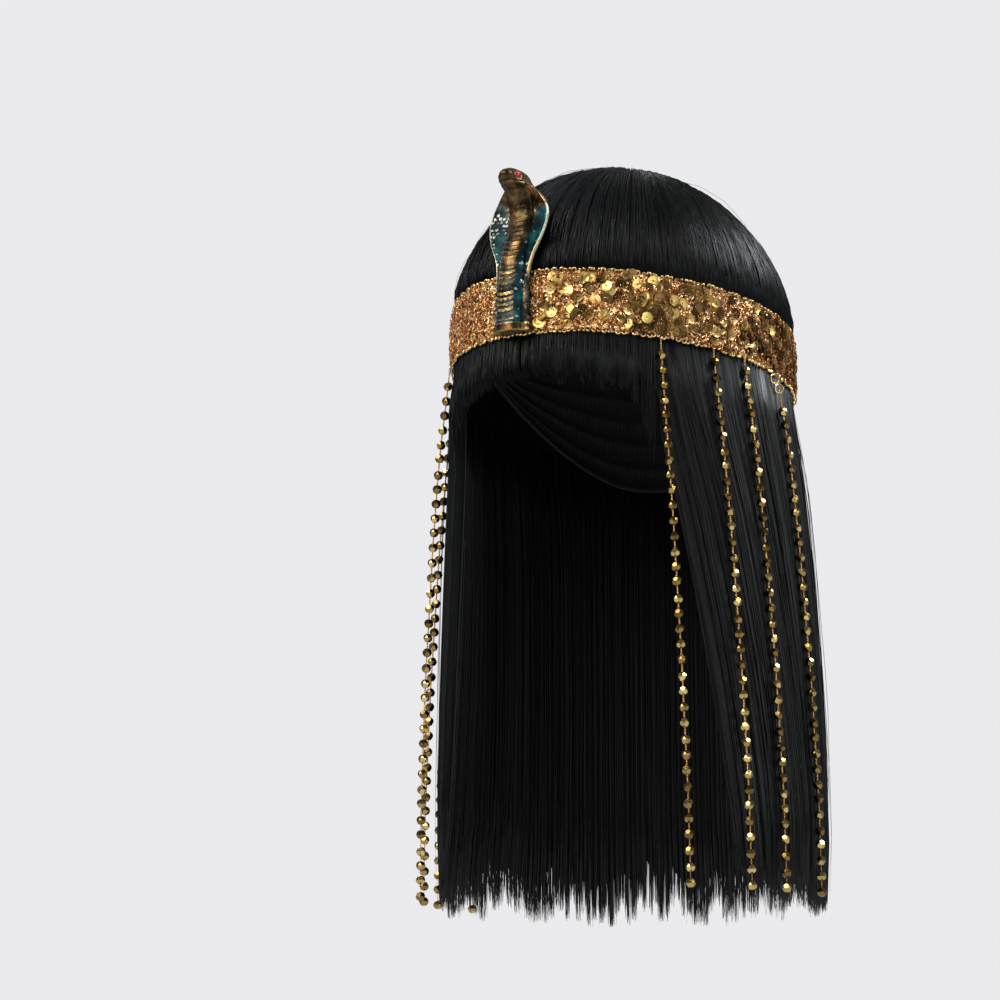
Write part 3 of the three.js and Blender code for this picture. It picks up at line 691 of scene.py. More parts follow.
# Sequins: small cupped discs of gold plastic foil with a hole in the middle, sewn on in staggered
# rows. They lie close on the left side and at the back, and the right half of the front has none.
SEQUIN_RADIUS, SEQUIN_HOLE, SEQUIN_CUP, SEQUIN_SHEET = 0.0030, 0.0005, 0.00022, 0.00014
SEQUIN_ROWS, SEQUINS_A_ROW, SEQUIN_TIP = 7, 134, np.radians(12)
FEW_KEPT, MOST_KEPT, SHADED_SHARE = 0.28, 0.72, 0.78  # shares of the sequins
bpy.ops.object.select_all(action="DESELECT")
bpy.ops.mesh.primitive_circle_add(vertices=10, radius=SEQUIN_RADIUS, fill_type="NGON")
sequin = bpy.context.object
bpy.ops.object.mode_set(mode="EDIT")
bpy.ops.mesh.select_all(action="SELECT")
bpy.ops.mesh.inset(thickness=SEQUIN_RADIUS * 0.34, depth=-SEQUIN_CUP)
bpy.ops.mesh.inset(thickness=SEQUIN_RADIUS * 0.66 - SEQUIN_HOLE, depth=-SEQUIN_CUP * 0.2)
bpy.ops.mesh.delete(type="FACE")
bpy.ops.object.mode_set(mode="OBJECT")
sheet = sequin.modifiers.new("sheet", "SOLIDIFY")
sheet.thickness = SEQUIN_SHEET
bpy.ops.object.modifier_apply(modifier="sheet")
sequin_pattern = take_pattern(sequin)

random = np.random.default_rng(42)
row, column = np.meshgrid(np.arange(SEQUIN_ROWS), np.arange(SEQUINS_A_ROW), indexing="ij")
angle = (column + 0.5 * (row % 2) + random.normal(0, 0.2, row.shape)) * 2 * np.pi / SEQUINS_A_ROW
height = lerp(-0.76, 0.76, row / (SEQUIN_ROWS - 1)) + random.normal(0, 0.07, row.shape)
angle, height = angle.ravel(), height.ravel()
turned = from_front(angle)
kept_left = lerp(FEW_KEPT, MOST_KEPT, smoothstep(turned, 12, 40))
kept_right = MOST_KEPT * smoothstep(-turned, 50, 110)
share_kept = np.where(turned > 0, kept_left, kept_right)
kept = (random.random(len(angle)) < share_kept) & (np.abs(turned) > 7)
angle, height = angle[kept], height[kept]
at, out, up = band_frame(angle, height, BAND_WALL - 0.0002 + random.uniform(0, 0.0007, len(angle)))
tipped = out + random.normal(0, 1, out.shape) * np.tan(SEQUIN_TIP)
sequin_tone = random.random(len(angle))
# Most sequins towards the left side are painted darker: painted shade.
shaded_sequin = (random.random(len(angle)) < SHADED_SHARE) * smoothstep(from_front(angle), 24, 44)
sequin_tone = sequin_tone * lerp(1, 0.5, shaded_sequin)
sequins = small_pieces("band_sequins", sequin_pattern, at, surface_axes(tipped, up), sequin_tone)
# The darkest tones stand in for dark surroundings mirrored in the gold: painted reflection.
sequin_stops = [(0.0, (0.020, 0.012, 0.005)), (0.3, (0.11, 0.068, 0.022)),
                (0.6, (0.30, 0.20, 0.065)), (0.85, (0.56, 0.40, 0.12)), (1.0, (0.85, 0.63, 0.22))]
sequin_gold = tone_material("flat gold sequin", sequin_stops, 0.36, 1.0, 0.6)
place_piece(sequins, sequin_gold, "sequin_band")

# Glitter thread: short crinkled ends of metallic copper-gold thread that stand out of the knit all
# over the band, apart from the place that the cobra covers.
random = np.random.default_rng(43)
THREADS = 3600
angle, height = random.uniform(0, 2 * np.pi, THREADS), random.uniform(-0.94, 0.94, THREADS)
clear_of_cobra = np.abs(from_front(angle)) > 5
angle, height = angle[clear_of_cobra], height[clear_of_cobra]
at, out, up = band_frame(angle, height, BAND_WALL - 0.0003)
across, up, out = np.moveaxis(surface_axes(out, up), 1, 0)
heading = random.uniform(0, 2 * np.pi, (len(angle), 1))
way = np.cos(heading) * across + np.sin(heading) * up
aside = np.cross(out, way)
half = random.uniform(0.0009, 0.0022, (len(angle), 1))
curve = random.normal(0, 0.0005, (len(angle), 1))
proud = random.uniform(0.0002, 0.0013, (len(angle), 1))
bend_a = at + aside * curve + out * proud
bend_b = at - aside * curve + out * proud * 0.8 + way * half * 0.5
thread_paths = np.stack([at - way * half, bend_a, bend_b, at + way * half], axis=1)
thread_out = np.repeat(out[:, None], 4, axis=1)
thread_radius = random.uniform(0.00016, 0.00030, len(angle))
# Threads towards the left side are painted darker: painted shade.
thread_tone = random.random(len(angle)) * lerp(1, 0.65, smoothstep(from_front(angle), 30, 50))
threads = strand_mesh("band_threads", thread_paths, thread_radius, thread_out, thread_tone)
thread_stops = [(0.0, (0.16, 0.050, 0.013)), (0.4, (0.42, 0.16, 0.040)),
                (0.85, (0.70, 0.36, 0.11)), (1.0, (0.95, 0.74, 0.42))]
thread_gold = tone_material("copper gold thread", thread_stops, 0.31, 1.0)
place_piece(threads, thread_gold, "sequin_band")

# Looped edges: a close row of small loops of pale gold thread, sewn along the band's upper edge and
# along its lower edge.
random = np.random.default_rng(44)
LOOP_PITCH, LOOP_REACH, LOOP_THREAD = 0.0026, 0.0009, 0.00075
loops_round = int(np.pi * (PRESSED_WIDTH + PRESSED_LENGTH) / LOOP_PITCH)
loop_turn = np.linspace(-0.25 * np.pi, 1.25 * np.pi, 6)[None, :, None]
loop_paths, loop_outs = [], []
for edge in (-1, 1):
    angle = (np.arange(loops_round) + random.normal(0, 0.18, loops_round)) * 2 * np.pi / loops_round
    outset = BAND_WALL * 0.55 + random.normal(0, 0.0003, loops_round)
    at, out, up = band_frame(angle, np.full_like(angle, edge * 0.97), outset)
    across, up, out = np.moveaxis(surface_axes(out, up), 1, 0)
    reach = LOOP_REACH * random.uniform(0.5, 1.35, (loops_round, 1, 1))
    circle = np.cos(loop_turn) * across[:, None] + (np.sin(loop_turn) + 0.35) * edge * up[:, None]
    loop_paths.append(at[:, None] + circle * reach + np.sin(loop_turn) * out[:, None] * 0.0003)
    loop_outs.append(np.repeat(out[:, None], 6, axis=1))
loop_paths, loop_outs = np.concatenate(loop_paths), np.concatenate(loop_outs)
loop_radius = LOOP_THREAD * random.uniform(0.8, 1.2, len(loop_paths))
loop_tone = random.random(len(loop_paths)) * 0.8
edge_loops = strand_mesh("band_edge_loops", loop_paths, loop_radius, loop_outs, loop_tone)
loop_stops = [(0.0, (0.42, 0.25, 0.075)), (1.0, (0.80, 0.58, 0.25))]
loop_gold = tone_material("pale gold loop thread", loop_stops, 0.3, 1.0)
place_piece(edge_loops, loop_gold, "sequin_band")

# Cobra: a hollow plastic moulding glued to the front of the band, with plates down its belly and small
# scales on its spread hood. It is painted dark teal and rubbed with bronze, gold and silver; the silver
# specks on its right side are painted glints, and its left shoulder carries a painted highlight.
# Columns in millimetres: rise above the foot, half width, depth, rim, the rim's forward curl, set back.
COBRA_SECTIONS = np.array([
    (0, 10.8, 10.4, 6.0, 0.0, 0.0), (3.2, 10.8, 10.6, 6.0, 0.0, 0.0), (5, 9.9, 10.0, 5.0, 0.0, 0.0),
    (13, 9.4, 10.2, 5.0, 0.0, 0.0), (23, 8.7, 10.2, 4.6, 0.2, 0.2), (30, 8.9, 9.8, 3.8, 0.5, 1.2),
    (36, 9.8, 9.4, 3.2, 0.9, 2.2), (41.5, 11.6, 9.0, 2.7, 1.6, 3.2), (47, 14.2, 8.4, 2.2, 2.6, 4.6),
    (52.5, 16.1, 7.9, 2.0, 3.4, 6.6), (57.5, 17.0, 7.6, 2.0, 3.8, 8.4), (61.5, 17.0, 7.4, 2.0, 3.8, 9.6),
    (65.4, 16.1, 7.6, 2.2, 3.4, 10.2), (68.8, 14.5, 8.2, 2.6, 2.8, 10.2), (72, 12.3, 9.4, 3.4, 2.0, 9.8),
    (74.4, 10.2, 11.2, 4.4, 1.2, 9.2), (76.3, 8.2, 14.0, 5.4, 0.5, 8.6), (78, 6.8, 17.6, 6.2, 0.0, 8.0),
    (80, 5.9, 19.4, 6.4, 0.0, 7.4), (82, 5.2, 19.0, 6.2, 0.0, 6.8), (83.8, 4.2, 16.4, 5.4, 0.0, 5.6),
    (85, 2.6, 10.5, 3.6, 0.0, 3.6),
]) / 1000
BELLY_HALF, PLATE_HALF, PLATE_PITCH, PLATE_HEIGHT = 0.0072, 0.0053, 0.0028, 0.0003
SCALE_WIDTH, SCALE_LENGTH, SCALE_HEIGHT = 0.0021, 0.0020, 0.0004
RIM_HEIGHT, MOUTH_DEPTH, TOP_ROUNDING = 0.0003, 0.0005, 0.0003
MOUTH_RISE, EYE_RISE, EYE_BEHIND_SNOUT, EYE_RING = 0.0778, 0.0812, 0.0070, 0.0029
COBRA_FOOT = BAND_BOTTOM + BAND_LIFT
COBRA_FACE = -(PRESSED_LENGTH + 2 * BAND_GAP + BAND_WALL)
FRONT_COLUMNS, BACK_COLUMNS = 101, 41


def cobra_column(rise, column):
    """A column of the sections at heights, rounded between the table's rows."""
    spread = np.array([-0.9, -0.45, 0, 0.45, 0.9]) / 1000
    weights = np.array([1, 4, 6, 4, 1]) / 16
    heights, values = COBRA_SECTIONS[:, 0], COBRA_SECTIONS[:, column]
    return sum(weight * np.interp(rise + step, heights, values) for weight, step in zip(weights, spread))


rise = np.concatenate([np.linspace(0, 0.072, 221), np.linspace(0.072, 0.085, 61)[1:]])[:, None]
half_width, depth, rim, curl, set_back = (cobra_column(rise, column) for column in range(1, 6))
on_head = smoothstep(rise, 0.0740, 0.0775)
front_share = -np.cos(np.linspace(0, np.pi, FRONT_COLUMNS))[None, :]
back_share = -np.cos(np.linspace(np.pi, 2 * np.pi, BACK_COLUMNS))[None, :]
across_belly = np.clip(np.abs(half_width * front_share) / np.minimum(BELLY_HALF, half_width), 0, 1)
belly = lerp(np.sqrt(1 - across_belly**2), (1 - across_belly**2.4) ** 0.46, on_head)
back_plane = COBRA_FACE + set_back
y_front = back_plane - rim - (depth - rim) * belly - curl * front_share**2
y_back = back_plane - (curl + np.minimum(rim * 0.35, 0.0012)) * back_share**2
x = half_width * np.concatenate([front_share, back_share], axis=1)
up_rise = np.repeat(rise, x.shape[1], axis=1)
skin = np.stack([x, np.concatenate([y_front, y_back], axis=1), up_rise], axis=-1)
skin_out = np.cross(np.gradient(skin, axis=1), np.gradient(skin, axis=0))
skin_out /= np.maximum(np.linalg.norm(skin_out, axis=-1, keepdims=True), 1e-12)


def moulded_unevenly(column, row):
    """A fixed share from 0 to 1 for each plate or scale, so that no two stand equally proud."""
    return np.sin(column * 12.9898 + row * 78.233) * 43758.5453 % 1


def within(value, low, full_from, full_to, high):
    """1 between the two inner values, falling smoothly to 0 at the two outer ones."""
    return smoothstep(value, low, full_from) * (1 - smoothstep(value, full_to, high))


# Relief: overlapping plates down the belly, scales on the hood and back, a fine ridge along the rim.
on_front = (np.arange(x.shape[1]) < FRONT_COLUMNS)[None, :]
aside = np.abs(x) / half_width
in_hood = smoothstep(up_rise, 0.034, 0.052)
on_trunk = within(up_rise, 0.0040, 0.0060, 0.070, 0.076)
over_plate = np.abs(x) / (PLATE_HALF * (1 + 0.40 * in_hood))
on_plates = on_front * on_trunk * (1 - smoothstep(over_plate, 0.8, 1.0))
plate_place = (up_rise - 0.0011 * over_plate**2) / PLATE_PITCH
plate = plate_place % 1
plate_proud = on_plates * (0.3 + 0.7 * moulded_unevenly(np.floor(plate_place), 0))
plate_height = within(plate, 0, 0.3, 0.8, 1) * (0.7 + 0.3 * plate) * plate_proud
plate_crest = within(plate, 0.10, 0.45, 0.80, 1) * plate_proud
scale_row = np.floor(up_rise / SCALE_LENGTH)
scale_place = x / SCALE_WIDTH + 0.5 * (scale_row % 2)
over = scale_place % 1 - 0.5 + 0.3 * (moulded_unevenly(scale_row, np.floor(scale_place)) - 0.5)
down = (up_rise / SCALE_LENGTH) % 1 - 0.5
scale_dome = np.sqrt(np.clip(1 - (over / 0.5) ** 2 - (down / 0.62) ** 2, 0, 1)) * (0.75 - 0.5 * down)
scale = scale_dome * (0.12 + 0.88 * moulded_unevenly(np.floor(scale_place), scale_row) ** 2.5)
on_rim = smoothstep(aside, 0.955, 0.99) * smoothstep(up_rise, 0.024, 0.034) * on_trunk
scale = scale * np.clip(on_trunk - on_plates - on_rim, 0, 1)
before_face = COBRA_FACE - skin[..., 1]
mouth = np.exp(-(((up_rise - MOUTH_RISE) / 0.0004) ** 2))
mouth = mouth * on_front * smoothstep(before_face, 0.0015, 0.005)
eye_row = [cobra_column(np.array(EYE_RISE), column) for column in range(1, 6)]
from_eye = np.hypot(before_face - (eye_row[1] - eye_row[4] - EYE_BEHIND_SNOUT), up_rise - EYE_RISE)
eye_ring = on_front * smoothstep(aside, 0.3, 0.6) * np.exp(-(((from_eye - EYE_RING) / 0.0005) ** 2))
relief = PLATE_HEIGHT * plate_height * lerp(1, 0.6, in_hood) + SCALE_HEIGHT * scale
relief = relief + RIM_HEIGHT * (on_rim + eye_ring) - MOUTH_DEPTH * mouth
cobra_points = skin + skin_out * relief[..., None] + np.array([0, 0, COBRA_FOOT])
foot_pole = np.tile(cobra_points[0].mean(axis=0), (1, x.shape[1], 1))
top_pole = np.tile(cobra_points[-1].mean(axis=0) + [0, 0, TOP_ROUNDING], (1, x.shape[1], 1))
cobra_points = np.concatenate([foot_pole, cobra_points, top_pole])
cobra_points = np.concatenate([cobra_points, cobra_points[:, :1]], axis=1)

# Paint: where the bronze ground shows, how far gold is rubbed on, and which scales silver has caught,
# with painted glints (pale silver specks) on the side that faces the key light.
on_back = np.where(on_front, 0.0, 1.0)
throat = on_front * smoothstep(up_rise, 0.056, 0.072) * (1 - smoothstep(over_plate, 0.9, 1.7))
foot = 1 - smoothstep(up_rise, 0.0030, 0.0044)
foot_lines = np.exp(-(((up_rise - 0.0035) / 0.0005) ** 2)) + np.exp(-((up_rise / 0.0006) ** 2))
low_side = on_front * (1 - smoothstep(up_rise, 0.018, 0.034)) * smoothstep(aside, 0.80, 0.92)
# Bronze and a little gold on the shoulders, stronger on the left one as a painted highlight.
shoulder_and_highlight = within(up_rise, 0.0640, 0.0690, 0.0770, 0.0800) * smoothstep(aside, 0.5, 0.8)
shoulder_and_highlight = shoulder_and_highlight * lerp(0.25, 1, smoothstep(x, -0.002, 0.002))
head = smoothstep(up_rise, 0.0715, 0.0765)
bronze_at = on_plates * lerp(0.3, 0.95, smoothstep(up_rise, 0.014, 0.040))
bronze_at = bronze_at + throat + head + foot + 0.7 * low_side + shoulder_and_highlight
gilt_at = 0.80 * plate_crest * lerp(1, 0.45, smoothstep(up_rise, 0.018, 0.036))
gilt_at = gilt_at + 0.30 * shoulder_and_highlight + 0.36 * low_side + 0.45 * foot_lines
gilt_at = gilt_at + on_rim * lerp(0.75, 0.25, in_hood) + 0.4 * scale * on_back
# Painted glints: silver specks only on the right side of the hood and lower trunk, facing the key light.
hood_glint_rub = within(up_rise, 0.046, 0.053, 0.063, 0.069) * smoothstep(-x, 0.004, 0.008)
trunk_glint_rub = on_trunk * (1 - smoothstep(up_rise, 0.016, 0.026)) * smoothstep(-x, 0.003, 0.006)
rubbed = on_front * np.maximum(hood_glint_rub, trunk_glint_rub)
rubbed = rubbed * moulded_unevenly(np.floor(scale_place), scale_row + 7) ** 1.5
raised_and_glint_at = scale + 0.75 * rubbed * scale_dome + 0.75 * on_rim


def with_poles_and_seam(values):
    rows = np.concatenate([values[:1], values, values[-1:]])
    return np.concatenate([rows, rows[:, :1]], axis=1)


# The raised layer holds the scales' relief, the rim and the painted glint specks.
cobra_layers = {"bronze": bronze_at, "gilt": gilt_at, "raised": raised_and_glint_at}
for name, values in cobra_layers.items():
    cobra_layers[name] = with_poles_and_seam(np.clip(values, 0, 1))
cobra = shaped_grid("cobra_figure", cobra_points, cobra_layers)

paint_finish = {"Coat Roughness": 0.10, "Specular IOR Level": 0.05}
cobra_paint, nodes, links, surface = new_material("rubbed cobra paint", paint_finish)
layer = {name: layer_value(nodes, name) for name in cobra_layers}
cloud = on_object(nodes, links, "ShaderNodeTexNoise", {"Scale": 150, "Detail": 4})
grit = on_object(nodes, links, "ShaderNodeTexNoise", {"Scale": 700, "Detail": 4})
teal = colour_ramp(nodes, [(0.40, (0.0010, 0.006, 0.0075)), (0.56, (0.002, 0.020, 0.024)),
                           (0.70, (0.004, 0.058, 0.066))])
bronze = colour_ramp(nodes, [(0.38, (0.014, 0.010, 0.005)), (0.55, (0.060, 0.038, 0.016)),
                             (0.70, (0.21, 0.108, 0.048))])
ground, glint, gilding = (nodes.new("ShaderNodeMix") for _ in range(3))
for mix in (ground, glint, gilding):
    mix.data_type = "RGBA"
set_inputs(glint, {"B": (0.30, 0.31, 0.22, 1)})
set_inputs(gilding, {"B": (0.56, 0.38, 0.13, 1)})


def wear_and_glint_mask(raised, low, high):
    """Where a raised place, broken up by the fine grit, has been rubbed; it also places the painted
    glints.
    """
    total = math_node(nodes, "ADD")
    spread = add_node(nodes, "ShaderNodeMapRange", {"From Min": low, "From Max": high})
    connect(links, [(raised, "Fac", total, 0), (grit, "Fac", total, 1),
                    (total, "Value", spread, "Value")])
    return spread


# Silver specks on raised scales: partly rubbed silver and partly painted glints.
silver_glints, gilded = wear_and_glint_mask(layer["raised"], 1.00, 1.30), wear_and_glint_mask(layer["gilt"], 0.85, 1.35)
polished = wear_and_glint_mask(layer["raised"], 0.82, 1.05)
bronze_metal = add_node(nodes, "ShaderNodeMapRange", {"To Max": 0.95})
teal_shows = add_node(nodes, "ShaderNodeMapRange", {"To Min": 0.9, "To Max": 0})
gloss = add_node(nodes, "ShaderNodeMapRange", {"To Min": 0.16, "To Max": 0.52})
teal_coat, metal = math_node(nodes, "MULTIPLY"), math_node(nodes, "MAXIMUM")
grain = add_node(nodes, "ShaderNodeBump", {"Strength": 0.35, "Distance": 0.0004})
connect(links, [(cloud, "Fac", teal, "Fac"), (cloud, "Fac", bronze, "Fac"),
                (teal, "Color", glint, "A"), (silver_glints, "Result", glint, "Factor"),
                (glint, "Result", ground, "A"), (bronze, "Color", ground, "B"),
                (layer["bronze"], "Fac", ground, "Factor"), (ground, "Result", gilding, "A"),
                (gilded, "Result", gilding, "Factor"), (gilding, "Result", surface, "Base Color")])
connect(links, [(layer["bronze"], "Fac", bronze_metal, "Value"), (bronze_metal, "Result", metal, 0),
                (gilded, "Result", metal, 1), (metal, "Value", surface, "Metallic"),
                (layer["bronze"], "Fac", teal_shows, "Value"), (teal_shows, "Result", teal_coat, 0),
                (polished, "Result", teal_coat, 1), (teal_coat, "Value", surface, "Coat Weight"),
                (grit, "Fac", gloss, "Value"), (gloss, "Result", surface, "Roughness"),
                (grit, "Fac", grain, "Height"), (grain, "Normal", surface, "Normal")])
place_piece(cobra, cobra_paint, "cobra", "cobra")

# Eyes: two small red plastic beads with a soft gloss, pressed into sockets in the sides of the
# cobra's head.
eye_finish = {"Roughness": 0.42, "Specular IOR Level": 0.3}
eye_red, nodes, links, surface = new_material("red eye bead", eye_finish)
blotch = on_object(nodes, links, "ShaderNodeTexNoise", {"Scale": 700})
eye_tone = colour_ramp(nodes, [(0.35, (0.11, 0.005, 0.004)), (0.65, (0.24, 0.012, 0.008))])
connect(links, [(blotch, "Fac", eye_tone, "Fac"), (eye_tone, "Color", surface, "Base Color")])
for side in ("left", "right"):
    low, high = (np.array(corner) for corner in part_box(f"cobra_eye_{side}"))
    middle, radius = (low + high) / 2, (high - low).max() / 2
    bpy.ops.object.select_all(action="DESELECT")
    bpy.ops.mesh.primitive_uv_sphere_add(segments=24, ring_count=14, radius=radius, location=middle)
    eye = bpy.context.object
    eye.name = eye.data.name = f"eye_bead_{side}"
    bpy.ops.object.mode_set(mode="EDIT")
    bpy.ops.mesh.select_all(action="SELECT")
    bpy.ops.transform.resize(value=(0.72, 1.1, 0.95))
    bpy.ops.object.mode_set(mode="OBJECT")
    bpy.ops.object.shade_smooth()
    bpy.ops.object.transform_apply(location=True, rotation=True, scale=True)
    place_piece(eye, eye_red, "eye", f"cobra_eye_{side}")

# Strings of beads: faceted plastic beads with a bright gold coating, strung on thin brown-gold
# thread. Four hang on each side from the band's lower edge and lie over the long hair.
STRING_ANGLES = [48.5, 66.5, 79, 97]
BEAD_RADIUS, BEAD_PITCH, STRING_END, OFF_HAIR = 0.0025, 0.0078, -0.374, 0.0005
PLY_RADIUS, PLY_TWIST, THREAD_STEP = 0.00030, 0.0028, 0.0008
FIRST_BEAD, LAST_BEAD = 0.0045, 0.0027
EDGE_MIDDLE = 0.8507  # of an icosahedron's radius: where its corners, cut back to half the edges, end
bpy.ops.object.select_all(action="DESELECT")
bpy.ops.mesh.primitive_ico_sphere_add(subdivisions=1, radius=BEAD_RADIUS / EDGE_MIDDLE)
bead = bpy.context.object
bpy.ops.object.mode_set(mode="EDIT")
bpy.ops.mesh.select_all(action="SELECT")
bpy.ops.mesh.bevel(affect="VERTICES", offset_type="PERCENT", offset_pct=50, segments=1)
bpy.ops.mesh.remove_doubles(threshold=1e-5)
bpy.ops.object.mode_set(mode="OBJECT")
bead_pattern = take_pattern(bead)

# The gold is painted dark, as painted reflection of dark surroundings; only glints from the lamps make
# it bright.
bead_stops = [(0.0, (0.09, 0.054, 0.015)), (0.5, (0.18, 0.115, 0.035)), (1.0, (0.38, 0.28, 0.11))]
bead_gold = tone_material("gold coated bead", bead_stops, 0.13, 1.0)
ply_stops = [(0.0, (0.26, 0.13, 0.035)), (1.0, (0.55, 0.35, 0.12))]
string_thread = tone_material("brown gold thread", ply_stops, 0.3, 0.9)


def string_route(angle):
    """Points down a string, from the band's lower edge over the fullest part of the locks."""
    z = np.linspace(BAND_BOTTOM - 0.0003 + band_lift(angle), STRING_END, 60)
    width, length, wall = section_at(z, band_lift(angle))[:3]
    out = wall + LONG_RELIEF / 2 * smoothstep(-z, 0.105, 0.160) + OFF_HAIR + BEAD_RADIUS
    return oval(angle, width + out, length + out, z)


# Thread rings: two small rings of gold thread on each side, linked one below the other and sewn to
# the band's lower edge. The last string of the side hangs from them.
RING_RADIUS, RING_THREAD, RING_DROP, RING_FACING = 0.0024, 0.0006, 0.0095, np.radians(45)
ring_turn = np.linspace(0, 2 * np.pi, 17)[:, None]
for side, sign in (("left", 1), ("right", -1)):
    rings = []
    for drop, forward in ((0.0036, 0.040), (0.0078, 0.0)):
        ring_angle = np.radians(sign * STRING_ANGLES[-1]) - sign * forward
        route = string_route(ring_angle)
        centre = route[0] + (route[1] - route[0]) * drop / np.linalg.norm(route[1] - route[0])
        facing = ring_angle - sign * RING_FACING
        out = np.array([np.sin(facing), -np.cos(facing), 0.0])
        across = np.array([np.cos(facing), np.sin(facing), 0.0])
        circle = np.cos(ring_turn) * across + np.sin(ring_turn) * np.array([0, 0, 1.0])
        rings.append(centre + RING_RADIUS * circle + 0.0006 * np.cos(2 * ring_turn) * out)
    rings = np.array(rings)
    ring_out, ring_size = np.broadcast_to(out, rings.shape), np.full(2, RING_THREAD)
    ring_piece = strand_mesh(f"thread_rings_{side}", rings, ring_size, ring_out, np.array([0.8, 1.0]))
    place_piece(ring_piece, loop_gold, "beads")


def along_route(route, run, lengths):
    """Points at lengths along a route whose own points lie at the lengths in run."""
    return np.stack([np.interp(lengths, run, route[:, axis]) for axis in range(3)], axis=1)


# Beads and thread: each string's beads, then the two plies of thread that run through them.
BEAD_SLIP, HANG_STEP, THREAD_TAIL = 0.0003, 0.002, 0.002
random = np.random.default_rng(51)
for side, sign in (("left", 1), ("right", -1)):
    for number, degrees in enumerate(STRING_ANGLES, 1):
        string_angle = np.radians(sign * degrees)
        route = string_route(string_angle)
        run = np.concatenate([[0], np.cumsum(np.linalg.norm(np.diff(route, axis=0), axis=1))])
        first_bead = FIRST_BEAD + (RING_DROP if number == len(STRING_ANGLES) else 0)
        bead_count = int((run[-1] - first_bead - LAST_BEAD) / BEAD_PITCH) + 1
        stops = run[-1] - LAST_BEAD - BEAD_PITCH * np.arange(bead_count)[::-1]
        stops[:-1] += random.normal(0, BEAD_SLIP, bead_count)[:-1]
        at, before = along_route(route, run, stops), along_route(route, run, stops - HANG_STEP)
        twist = random.uniform(0, 2 * np.pi, bead_count)
        sideways = np.stack([np.cos(twist), np.sin(twist), np.zeros(bead_count)], axis=1)
        hang = (at - before) / HANG_STEP + random.normal(0, 0.07, (bead_count, 3))
        axes = surface_axes(hang, sideways)
        beads = small_pieces(f"beads_{side}_{number}", bead_pattern, at, axes, random.random(bead_count))
        place_piece(beads, bead_gold, "beads", f"bead_string_{side}_{number}")
        fine_run = np.arange(0, stops[-1] + THREAD_TAIL, THREAD_STEP)
        middle = along_route(route, run, fine_run)
        out = np.array([np.sin(string_angle), -np.cos(string_angle), 0.0])
        aside = np.array([np.cos(string_angle), np.sin(string_angle), 0.0])
        twist = 2 * np.pi * fine_run[:, None] / PLY_TWIST
        wound = PLY_RADIUS * 0.9 * (np.cos(twist) * out + np.sin(twist) * aside)
        plies = np.stack([middle + wound, middle - wound])
        ply_out, ply_size = np.broadcast_to(out, plies.shape), np.full(2, PLY_RADIUS)
        ply_tone = np.array([0.3, 0.8])
        thread = strand_mesh(f"bead_thread_{side}_{number}", plies, ply_size, ply_out, ply_tone)
        place_piece(thread, string_thread, "beads")

# Setting: a plain pale floor well below the wig, which hangs free, soft studio light from four sides
# and a camera at the photograph's angle.
FLOOR_Z, FLOOR_TONE = -0.72, (0.86, 0.86, 0.87, 1)
bpy.ops.object.select_all(action="DESELECT")
bpy.ops.mesh.primitive_plane_add(size=14, location=(0, 0, FLOOR_Z))
floor = bpy.context.object
floor.name = "pale_floor"
floor_finish = {"Base Color": FLOOR_TONE, "Roughness": 0.8, "Emission Color": FLOOR_TONE}
pale, nodes, links, surface = new_material("pale floor paint", floor_finish)
seen, glow = nodes.new("ShaderNodeLightPath"), add_node(nodes, "ShaderNodeMapRange", {"To Max": 0.5})
connect(links, [(seen, "Is Camera Ray", glow, "Value"), (glow, "Result", surface, "Emission Strength")])
floor.data.materials.append(pale)

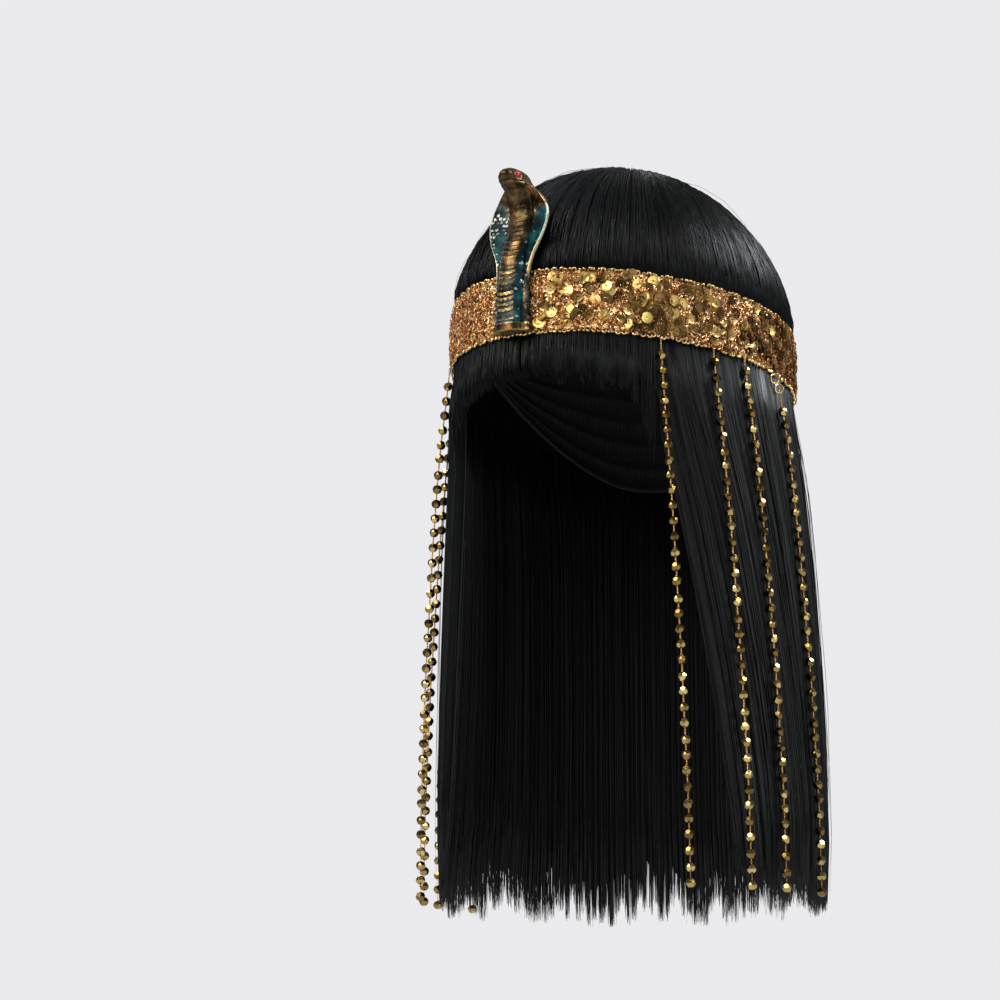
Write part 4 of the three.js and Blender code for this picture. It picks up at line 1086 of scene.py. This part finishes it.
# The backdrop is bright where the camera sees it and dim as a source of light.
BACKDROP_SEEN, BACKDROP_LIGHT = 0.86, 0.26
world = bpy.data.worlds.new("studio")
world.use_nodes = True
nodes, links = world.node_tree.nodes, world.node_tree.links
backdrop = nodes["Background"]
set_inputs(backdrop, {"Color": (0.96, 0.96, 0.98, 1)})
ray = nodes.new("ShaderNodeLightPath")
strength = add_node(nodes, "ShaderNodeMapRange", {"To Min": BACKDROP_LIGHT, "To Max": BACKDROP_SEEN})
connect(links, [(ray, "Is Camera Ray", strength, "Value"), (strength, "Result", backdrop, "Strength")])
bpy.context.scene.world = world
bpy.context.scene.view_settings.view_transform = "Standard"

WIG_MIDDLE = np.array([0.0, 0.0, -0.18])


def studio_light(name, azimuth, elevation, distance, size, power, colour):
    a, e = np.radians(azimuth), np.radians(elevation)
    offset = distance * np.array([np.sin(a) * np.cos(e), -np.cos(a) * np.cos(e), np.sin(e)])
    lamp = bpy.data.lights.new(name, "AREA")
    lamp.shape, lamp.size, lamp.energy, lamp.color = "SQUARE", size, power, colour
    light = bpy.data.objects.new(name, lamp)
    light.location = WIG_MIDDLE + offset
    light.rotation_mode = "QUATERNION"
    light.rotation_quaternion = Vector(-offset).to_track_quat("-Z", "Y")
    bpy.context.collection.objects.link(light)


studio_light("key_light", -10, 34, 1.6, 1.1, 44, (1.0, 0.98, 0.95))
studio_light("side_light", 115, 46, 1.5, 0.4, 26, (0.93, 0.96, 1.0))
studio_light("low_fill", 84, 4, 2.0, 1.1, 14, (1, 1, 1))
studio_light("back_light", -120, 40, 1.7, 0.9, 8, (0.95, 0.97, 1.0))

CAMERA_AZIMUTH, CAMERA_ELEVATION, CAMERA_DISTANCE = np.radians(33), np.radians(-11), 1.8
PIXELS_A_METRE, FRAME_PIXELS, SENSOR = 1900, 1000, 36
camera_back = np.array([np.sin(CAMERA_AZIMUTH) * np.cos(CAMERA_ELEVATION),
                        -np.cos(CAMERA_AZIMUTH) * np.cos(CAMERA_ELEVATION), np.sin(CAMERA_ELEVATION)])
camera_right = np.array([np.cos(CAMERA_AZIMUTH), np.sin(CAMERA_AZIMUTH), 0])
aim = WIG_MIDDLE - camera_right * 0.066 + np.array([0, 0, 0.018])
camera = bpy.data.objects.new("camera", bpy.data.cameras.new("camera"))
camera.data.sensor_width = SENSOR
camera.data.lens = SENSOR * CAMERA_DISTANCE * PIXELS_A_METRE / FRAME_PIXELS
camera.location = aim + camera_back * CAMERA_DISTANCE
camera.rotation_euler = (np.pi / 2 - CAMERA_ELEVATION, 0, CAMERA_AZIMUTH)
bpy.context.collection.objects.link(camera)
bpy.context.scene.camera = camera
